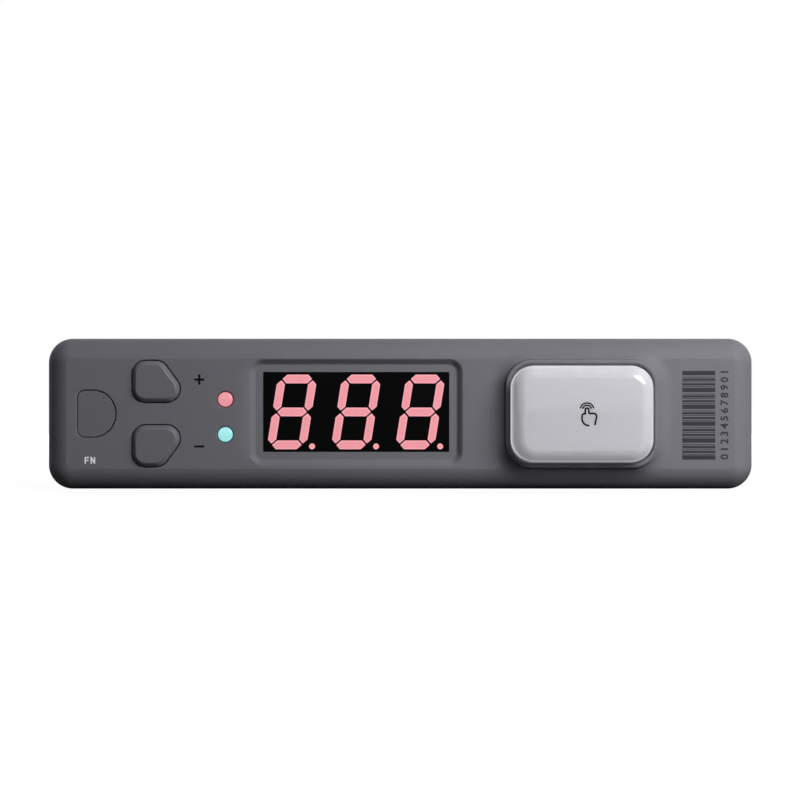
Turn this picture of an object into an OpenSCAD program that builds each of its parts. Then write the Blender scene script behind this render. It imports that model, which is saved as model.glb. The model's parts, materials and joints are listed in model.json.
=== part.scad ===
// Pick-to-light display: a slim shelf-edge module with a three-digit readout, two setting keys,
// a flush function key, two signal lights and a large lit confirm button.
// The front looks along -Y, +X is to the right of the front and +Z is up.
// The origin is the middle of the rear face, which lies against the shelf rail.

/* [Body] */
// Width of the body
body_w = 140; // [126:0.5:160]
// Height of the body
body_h = 29.9; // [29.6:0.1:34]
// Depth from the flat front to the rear face
body_d = 20; // [19:0.1:26]
// Radius of the corners, seen from the front
outline_r = 4.8; // [4.2:0.1:6]
// Width of the rounding round the front, seen from the front
edge_w = 4.1; // [3:0.1:4.2]
// Depth of that rounding
edge_d = 5; // [4.4:0.1:6]
// Rounding of the rear edge
rear_r = 1; // [0.4:0.1:1.6]
// Thickness of the front wall
front_wall = 2; // [1.8:0.1:2.4]
// Thickness of the side walls
side_wall = 2; // [1.6:0.1:2.2]
// Thickness of the rear wall
rear_wall = 2; // [1.6:0.1:2.6]
// Depth of the rear cover
rear_cover_d = 5; // [4.6:0.1:6]
// Width of the shadow line between the covers
seam_w = 0.4; // [0.2:0.1:0.6]
// Thickness of the rear cover's tongue
tongue_t = 1; // [0.7:0.1:1.2]
// Length of the tongue inside the front cover
tongue_len = 1.2; // [0.8:0.1:2]

/* [Plus and minus keys] */
// Gap between the two keys
key_gap = 4.5; // [4:0.1:5]
// Width of a key
key_w = 9.4; // [9:0.1:10]
// Width of its narrow end, before the slanted side
key_narrow_w = 7.25; // [6.8:0.05:8]
// From the body's upper or lower edge to a key
key_from_edge = 4.5; // [4.3:0.1:5]
// Radius of its corners
key_corner_r = 2.65; // [2.2:0.05:3]
// How far it stands out of the front
key_rise = 1; // [0.6:0.1:1.4]
// Width of the bevel round its face
key_bevel = 1; // [0.5:0.1:1.4]
// Gap round each key in the front
key_clear = 0.15; // [0.1:0.05:0.25]
// How far a key can be pressed
key_travel = 0.3; // [0.2:0.05:0.4]

/* [Function key] */
// Width of the function key
fn_w = 7.4; // [7:0.1:7.9]
// From the body's upper or lower edge to the function key
fn_from_edge = 10.4; // [10:0.1:11]
// Radius of its left corners
fn_corner_r = 1.4; // [0.8:0.1:2]
// Width of its round right side
fn_round_w = 4.35; // [3.6:0.05:5]

/* [Signal lights] */
// Distance between the two lights
light_spacing = 6.92; // [6:0.02:8]
// How far their middle lies below the body's middle
light_drop = 0.62; // [0:0.02:1.2]
// Diameter of a lens
lens_d = 2.9; // [2.5:0.1:3.2]
// How far a lens stands out of the front
lens_rise = 0.35; // [0.2:0.05:0.6]
// Gap round a lens
lens_clear = 0.2; // [0.1:0.05:0.3]

/* [Readout] */
// How far the readout lies above the body's middle
readout_lift = 0.36; // [0:0.01:0.6]
// Width of the readout's window
window_w = 36.8; // [36.4:0.1:37.4]
// Height of the window
window_h = 15.8; // [15.7:0.05:16.4]
// Flat border round the window
border_w = 1.52; // [1.2:0.01:1.8]
// Width of the recess's sloped side
slope_w = 1; // [0.6:0.1:1.2]
// Depth of the recess
recess_d = 1; // [0.6:0.1:1.2]
// Radius of the recess's corners at the front
recess_r = 2.5; // [2:0.1:3]
// Depth of the readout module
readout_t = 8; // [7.6:0.1:9]
// From the outer bars to the window's sides
digit_margin_w = 0.82; // [0.6:0.02:1]
// From the outer bars to the window's top and bottom
digit_margin_h = 0.44; // [0.3:0.02:0.6]
// Slant of the digits in degrees
digit_slant = 9; // [0:1:12]
// Distance between a digit's upright bars
bar_gap_w = 6.2; // [5.8:0.02:6.4]
// Thickness of a bar
bar_t = 1.88; // [1.5:0.02:2]
// Diameter of a decimal point
point_d = 1.2; // [0.9:0.02:1.4]

/* [Confirm button] */
// Width of the cap
cap_w = 27.6; // [26.8:0.1:28.2]
// From the body's upper or lower edge to the cap
cap_from_edge = 5.5; // [5.4:0.1:6]
// Radius of the cap's corners
cap_r = 4.4; // [4:0.1:4.8]
// How far the cap stands out of the front
cap_rise = 6.6; // [5:0.1:8]
// Width of the cap's rounded edge
cap_edge_w = 2.9; // [2:0.1:3.2]
// Depth of the cap's rounded edge
cap_edge_d = 3.2; // [2:0.1:3.6]
// Thickness of the cap's wall
cap_wall = 1.6; // [1.2:0.1:1.8]
// Gap round the cap
cap_clear = 0.25; // [0.15:0.05:0.3]
// How far the button can be pressed
cap_travel = 1; // [0.5:0.1:1.2]
// Thickness of the collar round the cap
collar_wall = 1; // [0.8:0.05:1.1]
// How far the collar stands out of the front
collar_rise = 2.2; // [1.8:0.1:2.6]
// How far the front cover rises to the collar
mound_rise = 1.4; // [1:0.1:1.7]
// Width of the hollow slope from the collar down to the front
mound_w = 3; // [2:0.1:3.4]

/* [Circuit board] */
// Thickness of the circuit board
board_t = 1.6; // [1.2:0.1:1.8]
// Gap between the board and the case
board_gap = 0.8; // [0.5:0.1:1]
// Height of a tact switch's body
switch_h = 3.5; // [3.2:0.1:3.8]
// Width of a tact switch's body
switch_w = 6; // [5.6:0.1:6.2]
// Height of a tact switch with its stem
switch_total = 5; // [4.6:0.1:5.2]
// Diameter of a switch's stem
switch_stem_d = 3.5; // [3:0.1:3.8]

/* [Fasteners] */
// Thread diameter of a case screw
case_screw_d = 2.5; // [2:0.1:2.6]
// Head diameter of a case screw
case_head_d = 4.6; // [4:0.1:4.8]
// Thread diameter of a board screw
board_screw_d = 2; // [1.6:0.1:2.2]
// Head diameter of a board screw
board_head_d = 3.8; // [3.4:0.1:4]

/* [Rail fixing] */
// Distance between the two pairs of snap hooks
hook_spacing = 90; // [70:1:100]
// Distance between the upper and the lower hooks
hook_gap_h = 18; // [16:0.1:18.6]
// Width of a hook
hook_w = 10; // [6:0.5:14]
// Thickness of a hook's arm
hook_t = 1.6; // [1.2:0.1:1.8]
// Gap that takes the lip of the rail
rail_gap = 1.7; // [1.2:0.1:2.5]
// How far a hook grips behind the lip
hook_grip = 1.2; // [0.8:0.1:1.3]
// Distance between the rail contacts
contact_pitch = 5.08; // [4:0.02:6]
// Diameter of a contact's tip
contact_d = 1; // [0.8:0.05:1.1]
// How far a contact stands out of the rear
contact_reach = 1.6; // [1.2:0.1:2]
// How far a contact can be pressed
contact_travel = 1; // [0.5:0.1:1.2]

/* [Hidden] */
$fn = 48;

// Colours
shell_colour = [0.36, 0.36, 0.38];
key_colour = [0.35, 0.35, 0.37];
cap_colour = [0.77, 0.76, 0.79];
readout_colour = [0.04, 0.04, 0.04];
bar_colour = [0.94, 0.6, 0.64];
red_colour = [0.94, 0.56, 0.6];
cyan_colour = [0.64, 0.94, 0.94];
board_colour = [0.07, 0.25, 0.16];
chip_colour = [0.1, 0.1, 0.11];
steel_colour = [0.66, 0.67, 0.69];
gold_colour = [0.85, 0.7, 0.38];
lamp_colour = [0.92, 0.92, 0.86];
case_colour = [0.78, 0.79, 0.8];

// Steps and gaps that several pieces share
corner_steps = 8;
curve_steps = 7;
overrun = 0.5;
fuse = 0.4;
fit_clear = 0.05;
slide_clear = 0.08;
seat_gap = 0.05;
stop_gap = 0.2;
least_r = 0.3;
mound_lip = 0.25;
spring_sides = 6;
spring_turn_rings = 10;

// Places along the depth, from the front to the rear
y_face = -body_d;
y_inside = y_face + front_wall;
y_split = -rear_cover_d;
y_floor = y_face + recess_d;
readout_set_back = 0.15;
y_readout = y_floor + readout_set_back;
board_y = y_readout + readout_t;
board_rear = board_y + board_t;
flange_t = 0.8;
flange_w = 0.5;
y_flange = y_inside + seat_gap;
y_flange_rear = y_flange + flange_t;
switch_top = board_y - switch_h;
stem_top = board_y - switch_total;

// Heights that follow the body's height
half_w = body_w / 2;
half_h = body_h / 2;
key_z = key_gap / 2;
key_h = half_h - key_z - key_from_edge;
fn_h = body_h - 2 * fn_from_edge;
cap_h = body_h - 2 * cap_from_edge;

// Digits that fill the window
bar_gap_h = window_h / 2 - bar_t / 2 - digit_margin_h;
bar_gap = 0.13;
digit_lean = (bar_gap_h - bar_gap - bar_t / 2) * tan(digit_slant);
digit_pitch = window_w / 2 - digit_margin_w - (bar_gap_w + bar_t) / 2 - digit_lean;

// Rounding round the front: one arc that meets the flat face at a slight crease
edge_r = (edge_w * edge_w + edge_d * edge_d) / (2 * edge_w);
edge_start = asin(1 - edge_w / edge_r);

// Cavity of the front cover
inner_step_w = 1.2;
inner_step_d = 1.5;
pocket_inset = side_wall + inner_step_w;
rim_inset = side_wall + 2 * fit_clear + tongue_t;

// Sizes that set how close the pieces on the front may lie
collar_flange_w = 0.65;
lens_flange_w = 0.85;
case_boss_d = 5.2;
case_boss_in = 5.5;
board_boss_d = 4.6;
least_land = 0.3;
lens_out = lens_d / 2 + lens_clear;
flange_out = key_clear + flange_w;
mound_out = mound_lip + mound_w;
recess_w = window_w + 2 * (border_w + slope_w);
collar_w = cap_w + 2 * (cap_clear + collar_wall);

// Row along the front, from the left: what the pieces leave free is shared among their gaps
least_left = pocket_inset + flange_out + fit_clear;
least_fn_key = 2 * flange_out + fit_clear;
least_key_light = flange_out + board_boss_d + lens_flange_w - lens_clear + 2 * fit_clear;
least_right = case_boss_in + case_boss_d / 2 + collar_flange_w - mound_out + fit_clear;
pieces_w = fn_w + key_w + 2 * lens_out + recess_w + collar_w + 2 * mound_out;
spare_w = body_w - pieces_w - least_left - least_fn_key - least_key_light - 2 * least_land - least_right;
gap_shares = [0.104, 0.083, 0.054, 0.121, 0.204];
fn_left = least_left + gap_shares[0] * spare_w - half_w;
fn_x = fn_left + fn_w / 2;
key_x = fn_left + fn_w + least_fn_key + gap_shares[1] * spare_w;
key_right = key_x + key_w;
light_x = key_right + least_key_light + gap_shares[2] * spare_w + lens_out;
readout_x = light_x + lens_out + least_land + gap_shares[3] * spare_w + recess_w / 2;
confirm_x = readout_x + recess_w / 2 + least_land + gap_shares[4] * spare_w + mound_out + collar_w / 2;
stem_in_from_left = 4.15;
stem_x = key_x + stem_in_from_left;
stem_z = key_z + key_h / 2;
stem_shoulder = 0.25;
key_stem_d = switch_stem_d - 2 * stem_shoulder;

// Confirm button, collar and carrier
collar_h = cap_h + 2 * (cap_clear + collar_wall);
collar_r = cap_r + cap_clear + collar_wall / 2;
collar_flange_t = 0.95;
collar_rim_r = 0.45;
y_collar = y_face - collar_rise;
y_collar_rear = y_inside + collar_flange_t;
y_cap = y_face - cap_rise;
y_carrier = y_collar_rear + seat_gap;
carrier_t = 1.1;
carrier_lap = 1.25;
carrier_lap_h = 1.05;
y_carrier_rear = y_carrier + carrier_t;
carrier_w = cap_w + 2 * (cap_clear + carrier_lap);
carrier_h = cap_h + 2 * (cap_clear + carrier_lap_h);
carrier_r = 1.5;
carrier_bar_w = 7;
carrier_rim_h = 4.25;
carrier_light_h = carrier_h - 2 * carrier_rim_h;
carrier_side_w = 5.5;
pin_spread = 12.5;
pin_d = 2.4;
pin_past = 0.5;
pad_d = 4;
y_mound = y_face - mound_rise;

// Switch under the confirm button
confirm_switch_h = 3;
confirm_switch_total = 4.2;
confirm_switch_top = board_y - confirm_switch_h;
confirm_stem_top = board_y - confirm_switch_total;
stem_inside = 0.5;

// Springs
confirm_spring_d = 3.6;
confirm_wire = 0.4;
confirm_turns = 5;

// Fasteners
case_boss_down = 5.45;
case_head_t = 1.8;
head_set_back = 0.4;
head_clear = 0.3;
hole_clear = 0.15;
case_screw_len = 9;
case_pilot_past = 1;
column_d = 7;
y_boss_end = y_split + overrun + stop_gap;
board_head_t = 1.4;
board_screw_len = 4.6;
board_pilot_past = 0.6;
screw_from_block = 0.3;
screw_from_pocket = 0.5;
driver_slot_w = 0.6;
driver_slot_share = 0.62;
driver_slot_d = 0.8;
case_x = half_w - case_boss_in;
case_z = half_h - case_boss_down;
case_places = [[-case_x, -case_z], [case_x, -case_z], [case_x, case_z], [-case_x, case_z]];
collar_left = confirm_x - collar_w / 2 - collar_flange_w;
readout_right = readout_x + window_w / 2;
block_h = 8;
board_places = [
    [(key_right + flange_out + light_x - lens_d / 2 - lens_flange_w) / 2, 0],
    [(readout_right + collar_left) / 2, -(block_h + board_head_d) / 2 - screw_from_block],
    [half_w - pocket_inset - board_boss_d / 2 - screw_from_pocket, 0]
];

// Circuit board
board_w = body_w - 2 * (side_wall + board_gap);
board_h = body_h - 2 * (side_wall + board_gap);
board_corner_r = 0.8;
notch = case_boss_d / 2 + board_gap;

// Readout
module_clear = 0.04;
module_w = window_w - 2 * module_clear;
module_h = window_h - 2 * module_clear;
bar_d = 1.2;
point_out = 0.84;
point_drop = 0.3;
point_x = bar_gap_w / 2 + point_out;
point_z = bar_gap_h + point_drop;
readout_pin_d = 0.5;
readout_pin_pitch = 2.54;
readout_pin_rows = 13.6;
readout_pin_past = 1;
readout_pin_count = 6;

// Rail contacts and hooks
block_end = 3;
block_count = 4;
block_w = (block_count - 1) * contact_pitch + 2 * block_end + contact_pitch;
block_set_back = 0.2;
barrel_wall = 0.25;
contact_collar_d = contact_d + 2 * barrel_wall;
barrel_in_d = contact_collar_d + 2 * slide_clear;
barrel_d = barrel_in_d + 2 * barrel_wall;
barrel_bottom = 0.6;
barrel_neck = 0.8;
contact_collar_len = contact_travel + stop_gap;
y_barrel_rear = -block_set_back;
contact_wire = 0.2;
contact_turns = 6;
hook_len = 4.2;
hook_flat = 0.8;
window_clear = 0.4;
hook_z = hook_gap_h / 2;

// Small parts on the board
led_w = 3.5;
led_h = 2.8;
led_t = 1.9;
lamp_t = 1.1;
led_spread_x = 6.6;
led_spread_z = 5.2;
leg_w = 0.7;
leg_t = 0.3;
leg_out = 0.9;
lens_flange_t = 0.8;
lens_bevel = 0.35;
lens_lamp_gap = 0.1;
mcu_w = 10;
mcu_t = 1.4;
mcu_from_block = 4.84;
mcu_leads = 8;
mcu_lead_pitch = 1;
driver_w = 17.9;
driver_h = 7.5;
driver_t = 2.3;
driver_leads = 14;
driver_lead_pitch = 1.27;
driver_from_screw = 1.35;
driver_x = board_places[0][0] - board_head_d / 2 - driver_from_screw - driver_w / 2;
bus_w = 4.9;
bus_h = 3.9;
bus_t = 1.5;
bus_leads = 4;
lead_w = 0.35;
lead_t = 0.25;
lead_out = 1;
mcu_x = -block_w / 2 - mcu_from_block - lead_out - mcu_w / 2;
regulator_w = 6.5;
regulator_h = 3.5;
regulator_t = 1.6;
regulator_leads = 3;
regulator_lead_pitch = 2.3;
power_from_confirm = 5.5;
power_z = 6.2;
inductor_w = 6;
inductor_t = 2.8;
inductor_r = 1.2;
inductor_from_confirm = 1.4;
capacitor_d = 5;
capacitor_t = 5.2;
capacitor_base_w = 5.3;
capacitor_base_t = 0.6;
capacitor_from_confirm = 7.6;
crystal_w = 5;
crystal_h = 3.2;
crystal_t = 1;
crystal_r = 0.7;
crystal_from_mcu = 0.7;
crystal_x = mcu_x - mcu_w / 2 - lead_out - crystal_from_mcu - crystal_w / 2;
crystal_z = 4;

// Outline made of one arc round each centre, in order against the clock
function arc_outline(centres, r) = [
    for (i = [0 : len(centres) - 1])
        let (
            n = len(centres),
            here = centres[i],
            came = here - centres[(i + n - 1) % n],
            goes = centres[(i + 1) % n] - here,
            first = atan2(came[1], came[0]) - 90,
            turn = (atan2(goes[1], goes[0]) - 90 - first + 720) % 360
        )
        for (k = [0 : corner_steps])
            here + r * [cos(first + turn * k / corner_steps), sin(first + turn * k / corner_steps)]
];

// Rectangle w by h with rounded corners
function box_outline(w, h, r) =
    let (x = w / 2 - r, z = h / 2 - r)
    arc_outline([[x, -z], [x, z], [-x, z], [-x, -z]], r);

// The body's outline, drawn in by inset
function body_outline(inset) =
    box_outline(body_w - 2 * inset, body_h - 2 * inset, max(outline_r - inset, least_r));

function moved(outline, x, z) = [for (p = outline) p + [x, z]];

// A key's outline, with its lower left corner at zero, grown all round
function key_outline(grow) =
    let (r = key_corner_r, w = key_w - r, top = key_narrow_w - r, h = key_h - r)
    arc_outline([[r, r], [w, r], [top, h], [r, h]], r + grow);

// The function key's outline: two round corners at the left and half an ellipse at the right
function fn_outline(grow) =
    let (
        corner_x = fn_corner_r - fn_w / 2,
        corner_z = fn_h / 2 - fn_corner_r,
        r = fn_corner_r + grow,
        round_x = fn_w / 2 - fn_round_w
    )
    concat(
        [for (k = [0 : corner_steps])
            let (a = 180 + 90 * k / corner_steps)
            [corner_x + r * cos(a), r * sin(a) - corner_z]],
        [for (k = [0 : 3 * corner_steps])
            let (a = 180 * k / (3 * corner_steps) - 90)
            [round_x + (fn_round_w + grow) * cos(a), (fn_h / 2 + grow) * sin(a)]],
        [for (k = [0 : corner_steps])
            let (a = 90 + 90 * k / corner_steps)
            [corner_x + r * cos(a), r * sin(a) + corner_z]]
    );

// One bar of a digit: a six-sided strip round x, z, which leans with the digit
function bar_outline(digit_x, x, z, level) =
    let (
        half = (level ? bar_gap_w : bar_gap_h) / 2 - bar_gap,
        t = bar_t / 2,
        strip = [[-half, 0], [t - half, -t], [half - t, -t], [half, 0], [half - t, t], [t - half, t]]
    )
    [for (p = strip)
        let (q = level ? [x + p[0], z + p[1]] : [x - p[1], z + p[0]])
        [readout_x + digit_x + q[0] + q[1] * tan(digit_slant), readout_lift + q[1]]];

// All the bars of the three digits
bars = [
    for (d = [-1 : 1])
        for (bar = concat(
            [for (z = [-1 : 1]) [0, z * bar_gap_h, true]],
            [for (x = [-1, 1]) for (z = [-1, 1]) [x * bar_gap_w / 2, z * bar_gap_h / 2, false]]
        ))
            bar_outline(d * digit_pitch, bar[0], bar[1], bar[2])
];
point_places = [for (d = [-1 : 1]) [readout_x + d * digit_pitch + point_x, readout_lift - point_z]];
readout_pin_places = [
    for (i = [0 : readout_pin_count - 1])
        for (side = [-1, 1])
            [readout_x + (i - (readout_pin_count - 1) / 2) * readout_pin_pitch,
             readout_lift + side * readout_pin_rows / 2]
];
confirm_pin_places = [[confirm_x - pin_spread, 0], [confirm_x + pin_spread, 0]];

function contact_x(i) = (i - (block_count + 1) / 2) * contact_pitch;

// Flat shape drawn in X and Z, carried from y0 back to y1
module slab(y0, y1) {
    translate([0, y1, 0]) rotate([90, 0, 0]) linear_extrude(y1 - y0) children();
}

// Flat shape drawn in Y and Z, carried from x0 to x1
module bar(x0, x1) {
    translate([x0, 0, 0]) rotate([90, 0, 90]) linear_extrude(x1 - x0) children();
}

// Round rod along the depth
module rod(place, y0, y1, d) {
    translate([place[0], y1, place[1]]) rotate([90, 0, 0]) cylinder(d = d, h = y1 - y0);
}

// Block with its middle at place, from y0 back to y1
module block(place, w, h, y0, y1) {
    translate([place[0] - w / 2, y0, place[1] - h / 2]) cube([w, y1 - y0, h]);
}

// Solid through a row of outlines from the front to the rear, each given as [y, outline]
module loft(levels) {
    n = len(levels[0][1]);
    last = len(levels) - 1;
    points = [for (level = levels) for (p = level[1]) [p[0], level[0], p[1]]];
    front = [[for (i = [n - 1 : -1 : 0]) i]];
    rear = [[for (i = [0 : n - 1]) last * n + i]];
    sides = [
        for (j = [0 : last - 1])
            for (i = [0 : n - 1])
                let (a = j * n + i, b = j * n + (i + 1) % n)
                [a, b, b + n, a + n]
    ];
    polyhedron(points, concat(front, rear, sides));
}

// Round wire wound round the depth axis at place, from y0 back to y1
module coil(place, y0, y1, mean_d, wire, turns) {
    rings = turns * spring_turn_rings;
    s = spring_sides;
    points = [
        for (i = [0 : rings])
            let (a = 360 * i / spring_turn_rings, y = y0 + wire / 2 + (y1 - y0 - wire) * i / rings)
            for (k = [0 : s - 1])
                let (b = 360 * k / s, r = mean_d / 2 + wire / 2 * cos(b))
                [place[0] + r * cos(a), y + wire / 2 * sin(b), place[1] + r * sin(a)]
    ];
    sides = [
        for (i = [0 : rings - 1])
            for (k = [0 : s - 1])
                let (a = i * s + k, b = i * s + (k + 1) % s)
                for (face = [[a, a + s, b + s], [a, b + s, b]]) face
    ];
    ends = [[for (k = [0 : s - 1]) k], [for (k = [s - 1 : -1 : 0]) rings * s + k]];
    polyhedron(points, concat(sides, ends));
}

// Screw along the depth with its head at the rear and a cross slot
module screw(place, y_head, head_t, head_d, thread_d, thread_len) {
    slot_w = driver_slot_share * head_d;
    difference() {
        union() {
            rod(place, y_head, y_head + head_t, head_d);
            rod(place, y_head - thread_len, y_head + fuse, thread_d);
        }
        block(place, slot_w, driver_slot_w, y_head + head_t - driver_slot_d, y_head + head_t + overrun);
        block(place, driver_slot_w, slot_w, y_head + head_t - driver_slot_d, y_head + head_t + overrun);
    }
}

// Body of a push switch on the board, with its four feet and the bore for its stem
module push_switch(place, top, bore_d) {
    color(chip_colour)
    difference() {
        union() {
            block(place, switch_w, switch_w, top, board_y);
            for (side = [-1, 1])
                block(
                    place + [0, side * (switch_w / 2 - leg_w)],
                    switch_w + 2 * leg_out, leg_w, board_y - leg_t, board_y
                );
        }
        rod(place, top - overrun, top + bore_d, switch_stem_d + 2 * slide_clear);
    }
}

// Lens with its stem behind it and the flange that seats on the inside of the front wall
module lens(z) {
    place = [light_x, z];
    lamp_front = board_y - lamp_t;
    y_front = y_face - lens_rise;
    rod(place, y_front + lens_bevel, lamp_front - lens_lamp_gap, lens_d);
    translate([light_x, y_front + lens_bevel, z])
        rotate([90, 0, 0])
        cylinder(d1 = lens_d, d2 = lens_d - 2 * lens_bevel, h = lens_bevel);
    rod(place, y_inside, y_inside + lens_flange_t, lens_d + 2 * lens_flange_w);
}

// Chip with a row of leads on two sides, or on four
module chip(place, w, h, t, leads, pitch, all_round) {
    union() {
        block(place, w, h, board_rear + lead_t / 2, board_rear + t);
        for (i = [0 : leads - 1])
            let (shift = (i - (leads - 1) / 2) * pitch) {
                block(place + [shift, 0], lead_w, h + 2 * lead_out, board_rear, board_rear + lead_t);
                if (all_round)
                    block(place + [0, shift], w + 2 * lead_out, lead_w, board_rear, board_rear + lead_t);
            }
    }
}

// The front shell's outside: the rounded edge, the straight sides and the shadow line at the rear
module cover_skin() {
    levels = concat(
        [for (k = [0 : curve_steps])
            let (a = edge_start + (90 - edge_start) * k / curve_steps)
            [y_face + edge_d - edge_r * cos(a), body_outline(edge_r * (1 - sin(a)))]],
        [
            [y_split - seam_w, body_outline(0)],
            [y_split - seam_w, body_outline(seam_w)],
            [y_split, body_outline(seam_w)]
        ]
    );
    loft(levels);
}

// The hollow slope that rises from the front to the collar, kept inside a line down to the sides
module mound() {
    levels = concat(
        [for (k = [0 : curve_steps])
            let (a = 90 * k / curve_steps, out = mound_lip + mound_w * (1 - cos(a)))
            [
                y_mound + mound_rise * sin(a),
                moved(box_outline(collar_w + 2 * out, collar_h + 2 * out, collar_r + out), confirm_x, 0)
            ]],
        [[
            y_inside,
            let (out = mound_out)
            moved(box_outline(collar_w + 2 * out, collar_h + 2 * out, collar_r + out), confirm_x, 0)
        ]]
    );
    top_z = collar_h / 2 + mound_lip;
    intersection() {
        loft(levels);
        bar(-half_w, half_w)
            polygon([
                [y_mound, -top_z], [y_mound, top_z],
                [y_face + edge_d, half_h], [y_face + edge_d, -half_h]
            ]);
    }
}

module recess() {
    w = window_w + 2 * border_w;
    h = window_h + 2 * border_w;
    wide = box_outline(w + 2 * slope_w, h + 2 * slope_w, recess_r);
    narrow = box_outline(w, h, recess_r - slope_w);
    loft([
        [y_face - overrun, moved(wide, readout_x, readout_lift)],
        [y_face, moved(wide, readout_x, readout_lift)],
        [y_floor, moved(narrow, readout_x, readout_lift)]
    ]);
    block([readout_x, readout_lift], window_w, window_h, y_face, y_inside + overrun);
}

module key_hole(grow) {
    translate([key_x, 0, key_z])
        slab(y_face - overrun, y_inside + overrun)
        polygon(key_outline(grow));
}

module front_cover() {
    color(shell_colour)
    difference() {
        union() {
            difference() {
                union() {
                    cover_skin();
                    mound();
                }
                slab(y_inside, y_split + overrun) polygon(body_outline(pocket_inset));
                slab(y_inside + inner_step_d, y_split + overrun) polygon(body_outline(side_wall));
            }
            for (place = case_places) rod(place, y_inside - fuse, y_boss_end, case_boss_d);
            for (place = board_places) rod(place, y_inside - fuse, board_y, board_boss_d);
        }
        recess();
        key_hole(key_clear);
        mirror([0, 0, 1]) key_hole(key_clear);
        slab(y_face - overrun, y_inside + overrun) polygon(moved(fn_outline(key_clear), fn_x, 0));
        for (z = [-1, 1])
            rod([light_x, z * light_spacing / 2 - light_drop],
                y_face - overrun, y_inside + overrun, lens_d + 2 * lens_clear);
        slab(y_collar, y_inside + overrun)
            polygon(moved(
                box_outline(collar_w + 2 * fit_clear, collar_h + 2 * fit_clear, collar_r + fit_clear),
                confirm_x, 0
            ));
        for (place = case_places)
            rod(place, -case_head_t - head_set_back - case_screw_len - case_pilot_past,
                y_boss_end + overrun, case_screw_d + 2 * fit_clear);
        for (place = board_places)
            rod(place, board_rear - board_screw_len - board_pilot_past,
                board_y + overrun, board_screw_d + 2 * fit_clear);
    }
}

// A pair of snap hooks, the upper one and the lower one
module hook_pair(x) {
    z0 = hook_z - hook_t / 2;
    z1 = hook_z + hook_t / 2;
    for (side = [0, 1])
        mirror([0, 0, side])
        bar(x - hook_w / 2, x + hook_w / 2)
        polygon([
            [-rear_wall, z0], [hook_len, z0], [hook_len, z1],
            [rail_gap + hook_flat, z1 + hook_grip], [rail_gap, z1 + hook_grip],
            [rail_gap, z1], [-rear_wall, z1]
        ]);
}

module rear_cover() {
    head_y = -case_head_t - head_set_back;
    tongue_inset = side_wall + 2 * fit_clear;
    color(shell_colour)
    difference() {
        union() {
            difference() {
                union() {
                    loft(concat(
                        [[y_split, body_outline(0)]],
                        [for (k = [0 : curve_steps])
                            let (a = 90 * k / curve_steps)
                            [rear_r * (sin(a) - 1), body_outline(rear_r * (1 - cos(a)))]]
                    ));
                    slab(y_split - tongue_len, y_split + fuse) polygon(body_outline(tongue_inset));
                }
                slab(y_split - tongue_len - overrun, -rear_wall) polygon(body_outline(rim_inset));
                for (place = case_places)
                    rod(place, y_split - tongue_len - overrun, y_boss_end, case_boss_d + 2 * hole_clear);
            }
            for (place = case_places) rod(place, y_boss_end, -rear_wall + fuse, column_d);
            for (x = [-1, 1]) hook_pair(x * hook_spacing / 2);
        }
        for (place = case_places) {
            rod(place, y_boss_end - overrun, overrun, case_screw_d + 2 * hole_clear);
            rod(place, head_y, overrun, case_head_d + 2 * head_clear);
        }
        block([0, 0], block_w + 2 * hole_clear, block_h + 2 * hole_clear, -rear_wall - overrun, overrun);
        for (x = [-1, 1])
            for (z = [-1, 1])
                block(
                    [x * hook_spacing / 2, z * (hook_z + (hook_t + hook_grip + window_clear) / 2)],
                    hook_w + 2 * window_clear, hook_grip + window_clear,
                    -rear_wall - overrun, overrun
                );
    }
}

module case_screws() {
    color(steel_colour)
    for (place = case_places)
        screw(place, -case_head_t - head_set_back, case_head_t, case_head_d, case_screw_d, case_screw_len);
}

module main_board() {
    color(board_colour)
    difference() {
        slab(board_y, board_rear) polygon(box_outline(board_w, board_h, board_corner_r));
        for (place = case_places)
            block(
                place + [sign(place[0]) * notch, sign(place[1]) * notch], 4 * notch, 4 * notch,
                board_y - overrun, board_rear + overrun
            );
        for (place = board_places)
            rod(place, board_y - overrun, board_rear + overrun, board_screw_d + 2 * hole_clear);
        for (place = confirm_pin_places)
            rod(place, board_y - overrun, board_rear + overrun, pin_d + 2 * slide_clear);
        for (place = readout_pin_places)
            rod(place, board_y - overrun, board_rear + overrun, readout_pin_d + 2 * hole_clear);
    }
}

module board_screws() {
    color(steel_colour)
    for (place = board_places)
        screw(place, board_rear, board_head_t, board_head_d, board_screw_d, board_screw_len);
}

module display_body() {
    color(readout_colour)
    difference() {
        block([readout_x, readout_lift], module_w, module_h, y_readout, board_y);
        for (outline = bars) slab(y_readout - overrun, y_readout + bar_d) polygon(outline);
        for (place = point_places)
            rod(place, y_readout - overrun, y_readout + bar_d, point_d + 2 * fit_clear);
    }
}

module display_segments() {
    color(bar_colour)
    for (outline = bars) slab(y_readout, y_readout + bar_d) polygon(outline);
}

module display_points() {
    color(bar_colour)
    for (place = point_places) rod(place, y_readout, y_readout + bar_d, point_d);
}

module display_pins() {
    color(steel_colour)
    for (place = readout_pin_places) rod(place, board_y, board_rear + readout_pin_past, readout_pin_d);
}

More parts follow.
